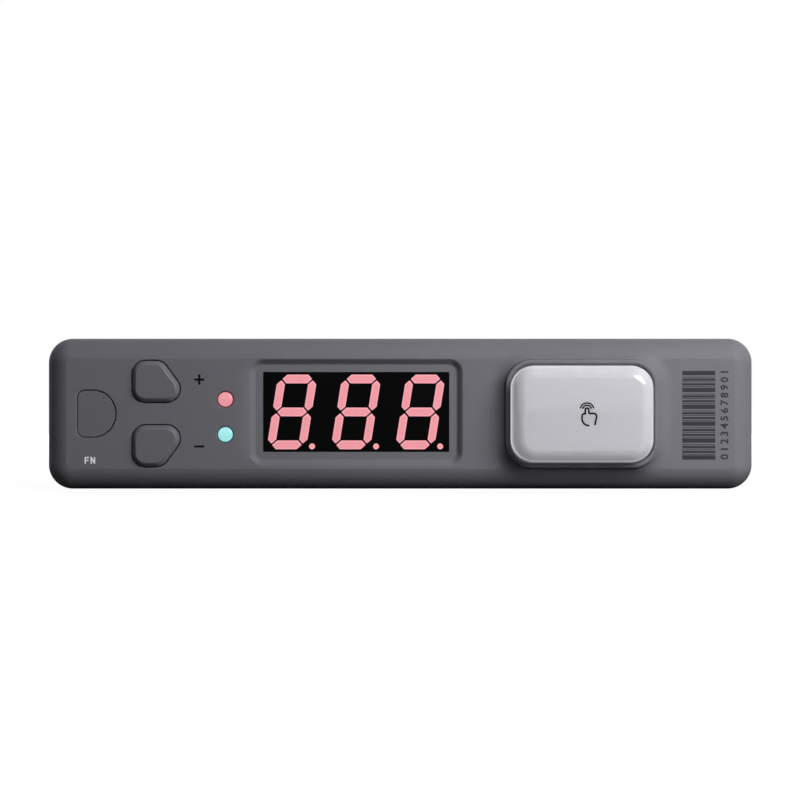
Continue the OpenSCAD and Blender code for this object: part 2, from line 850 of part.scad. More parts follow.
module confirm_collar() {
    inner_w = cap_w + 2 * cap_clear;
    inner_h = cap_h + 2 * cap_clear;
    inner_r = cap_r + cap_clear;
    flange = collar_flange_w;
    rim = [for (k = [0 : curve_steps]) 90 * k / curve_steps];
    color(shell_colour)
    difference() {
        union() {
            loft(concat(
                [for (a = rim)
                    let (inset = collar_rim_r * (1 - sin(a)))
                    [
                        y_collar + collar_rim_r * (1 - cos(a)),
                        moved(
                            box_outline(collar_w - 2 * inset, collar_h - 2 * inset, collar_r - inset),
                            confirm_x, 0
                        )
                    ]],
                [[y_collar_rear, moved(box_outline(collar_w, collar_h, collar_r), confirm_x, 0)]]
            ));
            slab(y_inside, y_collar_rear)
                polygon(moved(
                    box_outline(collar_w + 2 * flange, collar_h + 2 * flange, collar_r + flange),
                    confirm_x, 0
                ));
        }
        slab(y_collar - overrun, y_collar_rear + overrun)
            polygon(moved(box_outline(inner_w, inner_h, inner_r), confirm_x, 0));
    }
}

// The cap's form, drawn in by shrink: a flat top, a rounded edge and straight sides
module cap_form(shrink, y_end) {
    r = cap_r - shrink;
    loft(concat(
        [for (k = [0 : curve_steps])
            let (
                a = 90 * k / curve_steps,
                inset = min(cap_edge_w, r - least_r) * (1 - sin(a))
            )
            [
                y_cap + shrink + cap_edge_d * (1 - cos(a)),
                moved(
                    box_outline(cap_w - 2 * (shrink + inset), cap_h - 2 * (shrink + inset), r - inset),
                    confirm_x, 0
                )
            ]],
        [[
            y_end,
            moved(box_outline(cap_w - 2 * shrink, cap_h - 2 * shrink, r), confirm_x, 0)
        ]]
    ));
}

module confirm_cap() {
    color(cap_colour)
    difference() {
        cap_form(0, y_carrier);
        cap_form(cap_wall, y_carrier + overrun);
    }
}

module confirm_carrier() {
    middle = [confirm_x, 0];
    light_w = (carrier_w - carrier_bar_w) / 2 - carrier_side_w;
    light_x_shift = (carrier_bar_w + light_w) / 2;
    color(case_colour)
    union() {
        difference() {
            slab(y_carrier, y_carrier_rear)
                polygon(moved(box_outline(carrier_w, carrier_h, carrier_r), confirm_x, 0));
            for (side = [-1, 1])
                block(
                    middle + [side * light_x_shift, 0], light_w, carrier_light_h,
                    y_carrier - overrun, y_carrier_rear + overrun
                );
        }
        rod(middle, y_carrier_rear - fuse, confirm_stem_top, pad_d);
        for (place = confirm_pin_places)
            rod(place, y_carrier_rear - fuse, board_rear + pin_past, pin_d);
    }
}

module confirm_springs() {
    color(steel_colour)
    for (place = confirm_pin_places)
        coil(place, y_carrier_rear + fit_clear, board_y - fit_clear,
             confirm_spring_d, confirm_wire, confirm_turns);
}

module confirm_switch() {
    push_switch([confirm_x, 0], confirm_switch_top, stem_inside + cap_travel + stop_gap);
}

module confirm_switch_stem() {
    color(red_colour)
    rod([confirm_x, 0], confirm_stem_top, confirm_switch_top + stem_inside, switch_stem_d);
}

module button_leds() {
    color(lamp_colour)
    for (x = [-1, 1])
        for (z = [-1, 1])
            block([confirm_x + x * led_spread_x, z * led_spread_z], led_w, led_h, board_y - led_t, board_y);
}

// A setting key with its bevelled head, the flange behind the front wall and its stem
module setting_key() {
    union() {
        translate([key_x, 0, key_z])
            loft(concat(
                [for (k = [0 : curve_steps])
                    let (a = 90 * k / curve_steps)
                    [y_face - key_rise * cos(a), key_outline(-key_bevel * (1 - sin(a)))]],
                [[y_flange_rear, key_outline(0)]]
            ));
        translate([key_x, 0, key_z])
            slab(y_flange, y_flange_rear)
            polygon(key_outline(flange_out));
        rod([stem_x, stem_z], y_flange_rear - fuse, stem_top, key_stem_d);
    }
}

module plus_button() {
    color(key_colour) setting_key();
}

module minus_button() {
    color(key_colour) mirror([0, 0, 1]) setting_key();
}

module fn_button() {
    color(key_colour)
    union() {
        slab(y_face, y_flange_rear) polygon(moved(fn_outline(0), fn_x, 0));
        slab(y_flange, y_flange_rear) polygon(moved(fn_outline(flange_out), fn_x, 0));
        rod([fn_x, 0], y_flange_rear - fuse, stem_top, key_stem_d);
    }
}

module plus_switch() {
    push_switch([stem_x, stem_z], switch_top, stem_inside + key_travel + stop_gap);
}

module minus_switch() {
    push_switch([stem_x, -stem_z], switch_top, stem_inside + key_travel + stop_gap);
}

module fn_switch() {
    push_switch([fn_x, 0], switch_top, stem_inside + key_travel + stop_gap);
}

module key_stem(place) {
    color(chip_colour) rod(place, stem_top, switch_top + stem_inside, switch_stem_d);
}

module plus_switch_stem() {
    key_stem([stem_x, stem_z]);
}

module minus_switch_stem() {
    key_stem([stem_x, -stem_z]);
}

module fn_switch_stem() {
    key_stem([fn_x, 0]);
}

module red_lens() {
    color(red_colour) lens(light_spacing / 2 - light_drop);
}

module cyan_lens() {
    color(cyan_colour) lens(-light_spacing / 2 - light_drop);
}

module indicator_leds() {
    color(lamp_colour)
    for (side = [-1, 1])
        block([light_x, side * light_spacing / 2 - light_drop], led_w, led_h, board_y - lamp_t, board_y);
}

module microcontroller() {
    color(chip_colour) chip([mcu_x, 0], mcu_w, mcu_w, mcu_t, mcu_leads, mcu_lead_pitch, true);
}

module display_driver() {
    color(chip_colour)
    chip([driver_x, 0], driver_w, driver_h, driver_t, driver_leads, driver_lead_pitch, false);
}

module bus_transceiver() {
    color(chip_colour)
    chip([confirm_x - power_from_confirm, power_z], bus_w, bus_h, bus_t, bus_leads, driver_lead_pitch, false);
}

module voltage_regulator() {
    color(chip_colour)
    chip([confirm_x - power_from_confirm, -power_z], regulator_w, regulator_h, regulator_t,
         regulator_leads, regulator_lead_pitch, false);
}

module inductor() {
    place = [confirm_x + inductor_from_confirm, -power_z];
    color(chip_colour)
    slab(board_rear, board_rear + inductor_t)
        polygon(moved(box_outline(inductor_w, inductor_w, inductor_r), place[0], place[1]));
}

module capacitors() {
    color(case_colour)
    for (z = [-1, 1])
        let (place = [confirm_x + capacitor_from_confirm, z * power_z]) {
            block(place, capacitor_base_w, capacitor_base_w, board_rear, board_rear + capacitor_base_t);
            rod(place, board_rear + capacitor_base_t / 2, board_rear + capacitor_t, capacitor_d);
        }
}

module crystal() {
    color(case_colour)
    slab(board_rear, board_rear + crystal_t)
        polygon(moved(
            box_outline(crystal_w, crystal_h, crystal_r),
            crystal_x, crystal_z
        ));
}

module contact_block() {
    color(chip_colour)
    difference() {
        block([0, 0], block_w, block_h, board_rear, -block_set_back);
        for (i = [1 : block_count])
            rod([contact_x(i), 0], board_rear - overrun, overrun, barrel_d + 2 * fit_clear);
    }
}

module contact_barrels() {
    color(gold_colour)
    for (i = [1 : block_count])
        difference() {
            rod([contact_x(i), 0], board_rear, y_barrel_rear, barrel_d);
            rod([contact_x(i), 0], board_rear + barrel_bottom, y_barrel_rear - barrel_neck, barrel_in_d);
            rod([contact_x(i), 0], y_barrel_rear - barrel_neck - fuse, overrun, contact_d + 2 * slide_clear);
        }
}

// A contact's plunger: the collar inside the barrel and the round-ended tip
module contact_pin(i) {
    y_collar_end = y_barrel_rear - barrel_neck - seat_gap;
    color(gold_colour)
    union() {
        rod([contact_x(i), 0], y_collar_end - contact_collar_len, y_collar_end, contact_collar_d);
        rod([contact_x(i), 0], y_collar_end - fuse, contact_reach - contact_d / 2, contact_d);
        translate([contact_x(i), contact_reach - contact_d / 2, 0]) sphere(d = contact_d);
    }
}

module contact_pin_1() {
    contact_pin(1);
}

module contact_pin_2() {
    contact_pin(2);
}

module contact_pin_3() {
    contact_pin(3);
}

module contact_pin_4() {
    contact_pin(4);
}

module contact_spring(i) {
    y_rear = y_barrel_rear - barrel_neck - seat_gap - contact_collar_len;
    color(steel_colour)
    coil([contact_x(i), 0], board_rear + barrel_bottom + fit_clear, y_rear - fit_clear,
         contact_d, contact_wire, contact_turns);
}

module contact_spring_1() {
    contact_spring(1);
}

module contact_spring_2() {
    contact_spring(2);
}

module contact_spring_3() {
    contact_spring(3);
}

module contact_spring_4() {
    contact_spring(4);
}

front_cover();
rear_cover();
case_screws();
main_board();
board_screws();
display_body();
display_segments();
display_points();
display_pins();
confirm_collar();
confirm_cap();
confirm_carrier();
confirm_springs();
confirm_switch();
confirm_switch_stem();
button_leds();
plus_button();
minus_button();
fn_button();
plus_switch();
minus_switch();
fn_switch();
plus_switch_stem();
minus_switch_stem();
fn_switch_stem();
red_lens();
cyan_lens();
indicator_leds();
microcontroller();
display_driver();
bus_transceiver();
voltage_regulator();
inductor();
capacitors();
crystal();
contact_block();
contact_barrels();
contact_pin_1();
contact_pin_2();
contact_pin_3();
contact_pin_4();
contact_spring_1();
contact_spring_2();
contact_spring_3();
contact_spring_4();
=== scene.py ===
"""Dresses the pick-to-light display: a slim grey shelf module with keys, lights, a readout and a big button.

Lengths are in millimetres until a mesh is made. The front looks along -Y, +X is to its right, +Z is up.
"""

import json
import math

import bpy
import numpy as np
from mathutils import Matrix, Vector


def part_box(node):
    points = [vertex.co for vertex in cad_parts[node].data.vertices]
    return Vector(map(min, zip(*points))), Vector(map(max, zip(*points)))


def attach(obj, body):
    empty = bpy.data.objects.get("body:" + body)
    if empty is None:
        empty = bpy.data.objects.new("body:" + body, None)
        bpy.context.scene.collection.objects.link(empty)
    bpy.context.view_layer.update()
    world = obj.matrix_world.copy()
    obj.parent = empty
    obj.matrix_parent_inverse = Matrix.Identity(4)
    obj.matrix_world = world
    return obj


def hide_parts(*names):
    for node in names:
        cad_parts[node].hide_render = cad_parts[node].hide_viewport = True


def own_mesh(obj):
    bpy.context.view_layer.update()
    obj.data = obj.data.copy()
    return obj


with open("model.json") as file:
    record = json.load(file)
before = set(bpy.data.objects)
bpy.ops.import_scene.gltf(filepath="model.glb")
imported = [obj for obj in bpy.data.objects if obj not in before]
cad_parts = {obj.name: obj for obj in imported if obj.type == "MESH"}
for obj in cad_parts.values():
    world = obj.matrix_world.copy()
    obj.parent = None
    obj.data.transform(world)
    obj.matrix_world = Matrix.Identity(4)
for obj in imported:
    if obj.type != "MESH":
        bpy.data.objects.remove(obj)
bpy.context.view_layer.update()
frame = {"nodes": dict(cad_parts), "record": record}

MM = 0.001
DEG = math.pi / 180
QUARTER = np.pi / 2


def span(node):
    """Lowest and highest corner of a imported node, in millimetres."""
    low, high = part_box(node)
    return np.array(low) / MM, np.array(high) / MM


def size(node):
    """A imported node's width, depth and height, in millimetres."""
    low, high = span(node)
    return high - low


def depths(node):
    """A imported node's front and rear along the depth axis, in millimetres."""
    low, high = span(node)
    return low[1], high[1]


def middle(node):
    """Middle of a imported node's box, as x and z in millimetres."""
    return (sum(span(node)) / 2)[[0, 2]]


def all_points(mesh):
    """A mesh's points, in millimetres."""
    points = np.empty(len(mesh.vertices) * 3, np.float32)
    mesh.vertices.foreach_get("co", points)
    return points.reshape(-1, 3) / MM


def clusters(node, gap):
    """Places, as x and z, of the separate solids of a node that lie more than gap apart."""
    flat = all_points(frame["nodes"][node].data)[:, [0, 2]]
    places = []
    while len(flat):
        near, size = np.arange(len(flat)) == 0, 0
        while near.sum() > size:
            size = near.sum()
            low, high = flat[near].min(0) - gap, flat[near].max(0) + gap
            near = np.all((flat >= low) & (flat <= high), axis=1)
        places.append((flat[near].min(0) + flat[near].max(0)) / 2)
        flat = flat[~near]
    return places


# Sizes of the body
HALF_W, _, HALF_H = size("front_cover") / 2
Y_FACE = depths("fn_button")[0]
Y_MOUND, Y_SPLIT = depths("front_cover")
Y_BOARD = depths("main_board")[0]
OUTLINE_R = 4.8
CORE_X, CORE_Z = HALF_W - OUTLINE_R, HALF_H - OUTLINE_R
EDGE_W = 4.1
EDGE_D = 5.0
EDGE_R = (EDGE_W ** 2 + EDGE_D ** 2) / (2 * EDGE_W)
EDGE_START = math.asin(1 - EDGE_W / EDGE_R)
REAR_R = 1.0
WALL = 2.0
Y_INSIDE = Y_FACE + WALL
SEAM_W = 0.4
SEAM_BEVEL = 0.12
POCKET_INSET = 3.2
POCKET_D = 1.5
LEAST_R = 0.3
FIT = 0.05
OVERRUN = 1.0

# Screws and what holds them
CASE_SCREWS = clusters("case_screws", 1.0)
BOARD_SCREWS = clusters("board_screws", 1.0)
Y_BOSS_END = Y_SPLIT + 0.7
ROOT = 0.5
BOSS_D = 5.2
BOARD_BOSS_D = 4.6
PILOT_D = 2.6
BOARD_PILOT_D = 2.1
Y_PILOT = -12.2
Y_BOARD_PILOT = -14.45

# Sizes of the pieces on the front
FLANGE_T = 0.8
COLLAR_FLANGE = 0.65
COLLAR_FLANGE_T = 0.95
CONFIRM_X = middle("confirm_collar")[0]
COLLAR_W, _, COLLAR_H = size("confirm_collar") - 2 * COLLAR_FLANGE
COLLAR_WALL = 1.0
COLLAR_R = 5.15
MOUND_W = 3.6
MOUND_POWER = 2.8
MOUND_ROOM = 0.5
KEY_CLEAR = 0.15
KEY_FLANGE = 0.5
KEY_RIM = KEY_CLEAR + KEY_FLANGE  # from a key's side to its flange's edge
KEY_BEVEL = 0.9
BEVEL_POWER = 1.55
KEY_CORNER_R = 2.65
KEY_NARROW_W = 7.25
KEY_FILLET = 0.18
STEM_D = 3.0
STEM_ROOT = 0.2
KEY_X, _, KEY_Z = span("plus_button")[0] + KEY_RIM
KEY_W, _, KEY_H = size("plus_button") - 2 * KEY_RIM
Y_KEY = depths("plus_button")[0]
STEM = middle("plus_switch_stem")
FN_CORNER_R = 1.4
FN_ROUND_W = 4.35
FN_FILLET = 0.24
FN_W, _, FN_H = size("fn_button") - 2 * KEY_RIM
FN_X = middle("fn_button")[0]
LENS_CLEAR = 0.2
LENS_FLANGE = 0.85
LENS_FILLET = 0.12
LENS_D = size("red_lens")[0] - 2 * LENS_FLANGE
LIGHTS = {node: middle(node) for node in ("red_lens", "cyan_lens")}
WINDOW_CLEAR = 0.04
READOUT = middle("display_body")
WINDOW_W, _, WINDOW_H = size("display_body") + 2 * WINDOW_CLEAR
Y_READOUT = depths("display_body")[0]
BORDER_W = 1.52
SLOPE_W = 1.0
RECESS_D = 1.0
RECESS_R = 2.5
RECESS_SOFT = 0.22


# Outlines and meshes

def unit(rows):
    """Each row at length one."""
    return rows / np.linalg.norm(rows, axis=-1, keepdims=True)


def ring_box(w, h, r, centre=(0, 0), steps=12):
    """Rounded rectangle, against the clock from the front: one quarter circle round each corner's centre."""
    x, z = w / 2 - r, h / 2 - r
    return ring_arcs([(x, -z), (x, z), (-x, z), (-x, -z)], r, steps) + np.array(centre)


def ring_arcs(centres, r, steps=12):
    """Outline of one arc of radius r round each centre, each turning from its side before to its side after."""
    centres = np.array(centres, float)
    came = centres - np.roll(centres, 1, 0)
    goes = np.roll(centres, -1, 0) - centres
    first = np.arctan2(came[:, 1], came[:, 0]) - QUARTER
    turn = (np.arctan2(goes[:, 1], goes[:, 0]) - QUARTER - first) % (2 * np.pi)
    angle = first[:, None] + turn[:, None] * np.linspace(0, 1, steps + 1)
    spokes = np.stack([np.cos(angle), np.sin(angle)], -1)
    return (centres[:, None] + r * spokes).reshape(-1, 2)


def ring_circle(d, centre=(0, 0), steps=48):
    """Circle of diameter d."""
    angle = 2 * np.pi * np.arange(steps) / steps
    return np.stack([np.cos(angle), np.sin(angle)], -1) * d / 2 + np.array(centre)


def ring_body(inset):
    """The body's outline drawn in by inset."""
    return ring_box(2 * (HALF_W - inset), 2 * (HALF_H - inset), max(OUTLINE_R - inset, LEAST_R))


def ring_key(grow=0.0, flip=False):
    """A setting key's outline where it stands, its inner corner drawn in; with flip the minus key's, mirrored."""
    r, w = KEY_CORNER_R, KEY_W - KEY_CORNER_R
    narrow, h = KEY_NARROW_W - KEY_CORNER_R, KEY_H - KEY_CORNER_R
    ring = ring_arcs([(r, r), (w, r), (narrow, h), (r, h)], r + grow) + np.array([KEY_X, KEY_Z])
    return (ring * np.array([1, -1]))[::-1] if flip else ring


def ring_fn(grow=0.0):
    """The function key's outline: half an ellipse at the right and two small quarter circles at the left."""
    quarter = np.linspace(0, QUARTER, 13)
    half_turn = np.linspace(-QUARTER, QUARTER, 49)
    x, z, r = FN_CORNER_R - FN_W / 2, FN_H / 2 - FN_CORNER_R, FN_CORNER_R + grow
    lower = [x + r * np.cos(np.pi + quarter), r * np.sin(np.pi + quarter) - z]
    right = [
        FN_W / 2 - FN_ROUND_W + (FN_ROUND_W + grow) * np.cos(half_turn),
        (FN_H / 2 + grow) * np.sin(half_turn),
    ]
    upper = [x + r * np.cos(QUARTER + quarter), r * np.sin(QUARTER + quarter) + z]
    return np.concatenate([lower, right, upper], 1).T + np.array([FN_X, 0])


def ring_collar(grow=0.0):
    """The collar's outer outline."""
    return ring_box(COLLAR_W + 2 * grow, COLLAR_H + 2 * grow, COLLAR_R + grow, (CONFIRM_X, 0), 16)


def band(behind, ahead):
    """Faces that join two closed rows of points, corner i of one to corner i of the other."""
    return np.stack([behind, ahead, np.roll(ahead, -1), np.roll(behind, -1)], 1).tolist()


def skin(rows):
    """Closed solid from rows of points, front to rear: each row joins the next, the first and last are faces."""
    index = np.arange(rows.shape[0] * rows.shape[1]).reshape(rows.shape[:2])
    faces = [face for a, b in zip(index, index[1:]) for face in band(a, b)]
    return rows.reshape(-1, 3), faces + [index[0].tolist(), index[-1][::-1].tolist()]


def loft(levels):
    """Closed solid through a row of outlines (y, outline) from front to rear."""
    return skin(np.stack([np.insert(ring, 1, y, axis=1) for y, ring in levels]))


def lathe(profile, place, steps):
    """Solid of revolution about the depth axis at place: each (y, radius), front to rear, becomes a circle."""
    return loft([(y, ring_circle(2 * max(r, 0.001), place, steps)) for y, r in profile])


def prism(ring, y0, y1):
    """Straight solid of one outline from y0 to y1."""
    return loft([(y0, ring), (y1, ring)])


def rods(places, d, y0, y1, steps=32):
    """Round bars along the depth axis, one at each place."""
    return [prism(ring_circle(d, place, steps), y0, y1) for place in places]


def sweep(path, r, sides=10):
    """Round wire of radius r: a circle carried square to the path and closed at the ends."""
    along = unit(np.gradient(path, axis=0))
    side = unit(np.cross(along, [0.0, 1.0, 0.0]))
    up = np.cross(side, along)
    angle = 2 * np.pi * np.arange(sides) / sides
    spokes = np.cos(angle)[None, :, None] * side[:, None] + np.sin(angle)[None, :, None] * up[:, None]
    return skin(path[:, None] + r * spokes)


def rounding(depth, width, start=0.0, steps=7):
    """Pairs down a rounded edge: depth (1 - cos a) and width (1 - sin a), with a from start to 90 degrees."""
    return [(depth * (1 - math.cos(a)), width * (1 - math.sin(a))) for a in np.linspace(start, QUARTER, steps)]


def joined(*solids):
    """Several (points, faces) as one."""
    points, faces, base = [], [], 0
    for p, f in solids:
        points.append(p)
        faces += [[i + base for i in face] for face in f]
        base += len(p)
    return np.concatenate(points), faces


def new_object(name, data):
    """An object in the scene that shows this data, at the origin."""
    thing = bpy.data.objects.new(name, data)
    bpy.context.scene.collection.objects.link(thing)
    return thing


def mesh_object(name, solid):
    """Object from (points in millimetres, faces)."""
    points, faces = solid
    mesh = bpy.data.meshes.new(name)
    mesh.from_pydata((np.asarray(points) * MM).tolist(), [], faces)
    mesh.validate()
    return new_object(name, mesh)


def evaluated_mesh(thing):
    """The mesh that an object's modifiers or curve give."""
    view = bpy.context.evaluated_depsgraph_get()
    return bpy.data.meshes.new_from_object(thing.evaluated_get(view))


def settle(thing):
    """Applies the object's modifiers to its mesh."""
    mesh, old = evaluated_mesh(thing), thing.data
    thing.modifiers.clear()
    thing.data = mesh
    bpy.data.meshes.remove(old)
    mesh.name = thing.name


def carve(thing, solids, operation="DIFFERENCE"):
    """Cuts solids out of a piece, or adds them to it, with exact intersections."""
    tool = mesh_object("tool", joined(*solids))
    step = thing.modifiers.new("carve", "BOOLEAN")
    step.operation = operation
    step.object = tool
    step.solver = "EXACT"
    step.use_self = True
    settle(thing)
    bpy.data.objects.remove(tool)


def smooth(thing, angle=32, crease=None):
    """Smooth shading with sharp edges past the angle and along the crease; large flat faces keep their normal."""
    mesh = thing.data
    mesh.shade_smooth()
    mesh.set_sharp_from_angle(angle=angle * DEG)
    if crease is not None:
        on_line = crease(all_points(mesh))
        ends = np.empty(len(mesh.edges) * 2, np.int32)
        mesh.edges.foreach_get("vertices", ends)
        both = on_line[ends.reshape(-1, 2)].all(1)
        sharp = mesh.attributes["sharp_edge"]
        marks = np.empty(len(mesh.edges), bool)
        sharp.data.foreach_get("value", marks)
        sharp.data.foreach_set("value", marks | both)
    even = thing.modifiers.new("even normals", "WEIGHTED_NORMAL")
    even.keep_sharp = True
    even.weight = 100
    settle(thing)


def place_piece(thing, body, slot, replaces=(), material=None):
    """Gives a piece its body and its finish, the slot's own unless given, and hides the nodes that it replaces."""
    thing.data.materials.clear()
    thing.data.materials.append(material or finishes[slot])
    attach(thing, body)
    if replaces:
        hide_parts(*replaces)


def add_piece(name, solid, angle, body, slot, replaces):
    """A piece that needs no cuts: its solid, smooth up to the angle, on its body."""
    thing = mesh_object(name, solid)
    smooth(thing, angle)
    place_piece(thing, body, slot, replaces)
    return thing


# The front shell

RINGS = 14
FINE = 0.3
COARSE = 4.0


def mound_height(x, z):
    """Height of the hollow slope: from the collar's outline it falls with a power of what is left of its width."""
    qx = np.abs(x - CONFIRM_X) - (COLLAR_W / 2 - COLLAR_R)
    qz = np.abs(z) - (COLLAR_H / 2 - COLLAR_R)
    outside = np.hypot(np.maximum(qx, 0), np.maximum(qz, 0)) + np.minimum(np.maximum(qx, qz), 0) - COLLAR_R
    left = np.clip(1 - np.maximum(outside, 0) / MOUND_W, 0, 1)
    return (Y_FACE - Y_MOUND) * left ** MOUND_POWER


def lines(low, high, step):
    """Evenly spaced places from low to high, about step apart."""
    return np.linspace(low, high, max(int(round((high - low) / step)), 1) + 1)


def shell_grid():
    """Grid over the whole front: concentric outlines near the edge, straight lines in the middle.

    Ring k lies edge_r (1 - sin a) inside the outline and edge_r cos a short of the edge's depth, a from 90 degrees
    to the crease. In a corner the rings are arcs round the corner's centre.
    """
    turn = np.linspace(QUARTER, EDGE_START, RINGS)
    inset = np.append(EDGE_R * (1 - np.sin(turn)), OUTLINE_R)
    depth = np.append(EDGE_D - EDGE_R * np.cos(turn), 0.0)
    near = COLLAR_W / 2 + MOUND_W + MOUND_ROOM
    x_lines = np.concatenate([
        lines(-CORE_X, CONFIRM_X - near, COARSE)[:-1],
        lines(CONFIRM_X - near, CONFIRM_X + near, FINE)[:-1],
        lines(CONFIRM_X + near, CORE_X, COARSE),
    ])
    z_lines = lines(-CORE_Z, CORE_Z, FINE)
    i, j = np.indices((len(x_lines) + 2 * RINGS, len(z_lines) + 2 * RINGS))
    last_i, last_j = i[-1, 0], j[0, -1]
    mx = np.minimum(np.minimum(i, last_i - i), RINGS)
    mz = np.minimum(np.minimum(j, last_j - j), RINGS)
    m = np.minimum(mx, mz)
    side_x = np.where(i < last_i / 2, -1, 1)
    side_z = np.where(j < last_j / 2, -1, 1)
    x_flat = x_lines[np.clip(i - RINGS, 0, len(x_lines) - 1)]
    z_flat = z_lines[np.clip(j - RINGS, 0, len(z_lines) - 1)]
    leg = np.maximum(RINGS - m, 1)
    angle = np.where(mx <= mz, (RINGS - mz) / leg, 2 - (RINGS - mx) / leg) * np.pi / 4
    r = OUTLINE_R - inset[m]
    x = np.where(mx < RINGS, side_x * (CORE_X + r * np.where(mz < RINGS, np.cos(angle), 1)), x_flat)
    z = np.where(mz < RINGS, side_z * (CORE_Z + r * np.where(mx < RINGS, np.sin(angle), 1)), z_flat)
    return x, Y_FACE + depth[m] - mound_height(x, z), z


def drawn_in(x, z, inset):
    """The outline through x and z moved inwards by inset, each point towards its corner's centre or its side."""
    r = max(OUTLINE_R - inset, LEAST_R)
    core_x, core_z = np.clip(x, -CORE_X, CORE_X), np.clip(z, -CORE_Z, CORE_Z)
    away_x, away_z = x - core_x, z - core_z
    length = np.maximum(np.hypot(away_x, away_z), 1e-6)
    if OUTLINE_R - inset < r:
        core_x, core_z = core_x * (HALF_W - inset - r) / CORE_X, core_z * (HALF_H - inset - r) / CORE_Z
    return core_x + r * away_x / length, core_z + r * away_z / length


def front_shell():
    """The front shell as one closed skin: the gridded front, the sides, the seam, the rim and the cavity."""
    x, y, z = shell_grid()
    index = np.arange(x.size).reshape(x.shape)
    quads = np.stack([index[:-1, :-1], index[1:, :-1], index[1:, 1:], index[:-1, 1:]], -1).reshape(-1, 4)
    points = np.stack([x, y, z], -1).reshape(-1, 3)
    behind = np.concatenate([index[:, 0], index[-1, 1:], index[-2::-1, -1], index[0, -2:0:-1]])
    bx, bz = points[behind, 0], points[behind, 2]
    steps = [
        (Y_SPLIT - SEAM_W - SEAM_BEVEL, 0), (Y_SPLIT - SEAM_W, SEAM_BEVEL), (Y_SPLIT - SEAM_W, SEAM_W),
        (Y_SPLIT, SEAM_W), (Y_SPLIT, WALL), (Y_INSIDE + POCKET_D, WALL),
        (Y_INSIDE + POCKET_D, POCKET_INSET), (Y_INSIDE, POCKET_INSET),
    ]
    n = len(behind)
    parts, faces = [points], quads.tolist()
    for k, (depth, inset) in enumerate(steps):
        rx, rz = drawn_in(bx, bz, inset)
        parts.append(np.stack([rx, np.full(n, depth), rz], 1))
        ahead = len(points) + n * k + np.arange(n)
        faces += band(behind, ahead)
        behind = ahead
    return np.concatenate(parts), faces + [behind[::-1].tolist()]


def hole(outline, fillet):
    """Cutter for a hole: outline(grow) gives its edge, and a fillet's quarter circle opens it at the face."""
    start, above = 8 * DEG, 0.03
    first = fillet * (1 - math.sin(start)) + (above + fillet * (1 - math.cos(start))) / math.tan(start)
    levels = [(Y_FACE - above, outline(first))]
    levels += [(Y_FACE + d, outline(w)) for d, w in rounding(fillet, fillet, start, 6)]
    return loft(levels + [(Y_INSIDE + OVERRUN, outline(0.0))])


def recess_cutters():
    """The readout's recess, with a fillet at the face, a sloped side and a fillet at the floor, and its window.

    Each fillet's edge moves out or in by reach times the square of what is left of its depth.
    """
    w, h = WINDOW_W + 2 * BORDER_W, WINDOW_H + 2 * BORDER_W
    reach, above, flare = 0.45 * RECESS_SOFT, 0.05, 0.3

    def ring(depth, grow):
        out = SLOPE_W - depth * SLOPE_W / RECESS_D + grow
        return Y_FACE + depth, ring_box(w + 2 * out, h + 2 * out, RECESS_R - SLOPE_W + out, READOUT, 16)

    shares = np.linspace(0, 1, 7)
    top = [ring(RECESS_SOFT * s, reach * (1 - s) ** 2) for s in shares]
    bottom = [ring(RECESS_D - RECESS_SOFT * (1 - s), -reach * s ** 2) for s in shares]
    window = ring_box(WINDOW_W, WINDOW_H, 0.15, READOUT, 6)
    return loft([ring(-above, reach + flare)] + top + bottom), prism(window, Y_FACE, Y_INSIDE + OVERRUN)


def on_crease(points):
    """True for points on the line where the flat front meets its rounded edge."""
    x, y, z = points.T
    inside = np.minimum(HALF_W - np.abs(x), HALF_H - np.abs(z))
    near = 0.02
    return (np.abs(inside - EDGE_W) < near) & (np.abs(y - Y_FACE) < near) & (mound_height(x, z) < near)


def make_front_shell():
    """The front shell with its bosses, recess, window and holes."""
    thing = mesh_object("front_shell", front_shell())
    carve(thing, [
        *rods(CASE_SCREWS, BOSS_D, Y_INSIDE - ROOT, Y_BOSS_END),
        *rods(BOARD_SCREWS, BOARD_BOSS_D, Y_INSIDE - ROOT, Y_BOARD),
    ], "UNION")
    carve(thing, [
        *recess_cutters(),
        hole(lambda g: ring_key(KEY_CLEAR + g), KEY_FILLET),
        hole(lambda g: ring_key(KEY_CLEAR + g, True), KEY_FILLET),
        hole(lambda g: ring_fn(KEY_CLEAR + g), FN_FILLET),
        prism(ring_collar(FIT), Y_MOUND - 3 * OVERRUN, Y_INSIDE + OVERRUN),
        *[hole(lambda g, p=p: ring_circle(LENS_D + 2 * (LENS_CLEAR + g), p), LENS_FILLET) for p in LIGHTS.values()],
        *rods(CASE_SCREWS, PILOT_D, Y_PILOT, Y_BOSS_END + OVERRUN, 24),
        *rods(BOARD_SCREWS, BOARD_PILOT_D, Y_BOARD_PILOT, Y_BOARD + OVERRUN, 24),
    ])
    smooth(thing, 32, on_crease)
    place_piece(thing, "housing", "shell_plastic", ["front_cover"])


# The rear shell

TONGUE_T = 1.0
TONGUE_LEN = 1.2
TONGUE_BEVEL = 0.15
TONGUE_ROOT = 0.4
COLUMN_D = 7.0
SCREW_HOLE_D = 2.8
HOOK_X = 45.0
HOOK_Z = 9.0
HOOK_W = 10.0
HOOK_T = 1.6
HOOK_GRIP = 1.2
HOOK_LEN = 4.2
HOOK_ROOT = 0.35
HOOK_BEVEL = 0.12
HOOK_LIP = 0.95
HOOK_START = 0.2
HOOK_TIP = 0.15
RAIL_GAP = 1.7
WINDOW_ROOM = 0.4
BLOCK_ROOM = 0.3


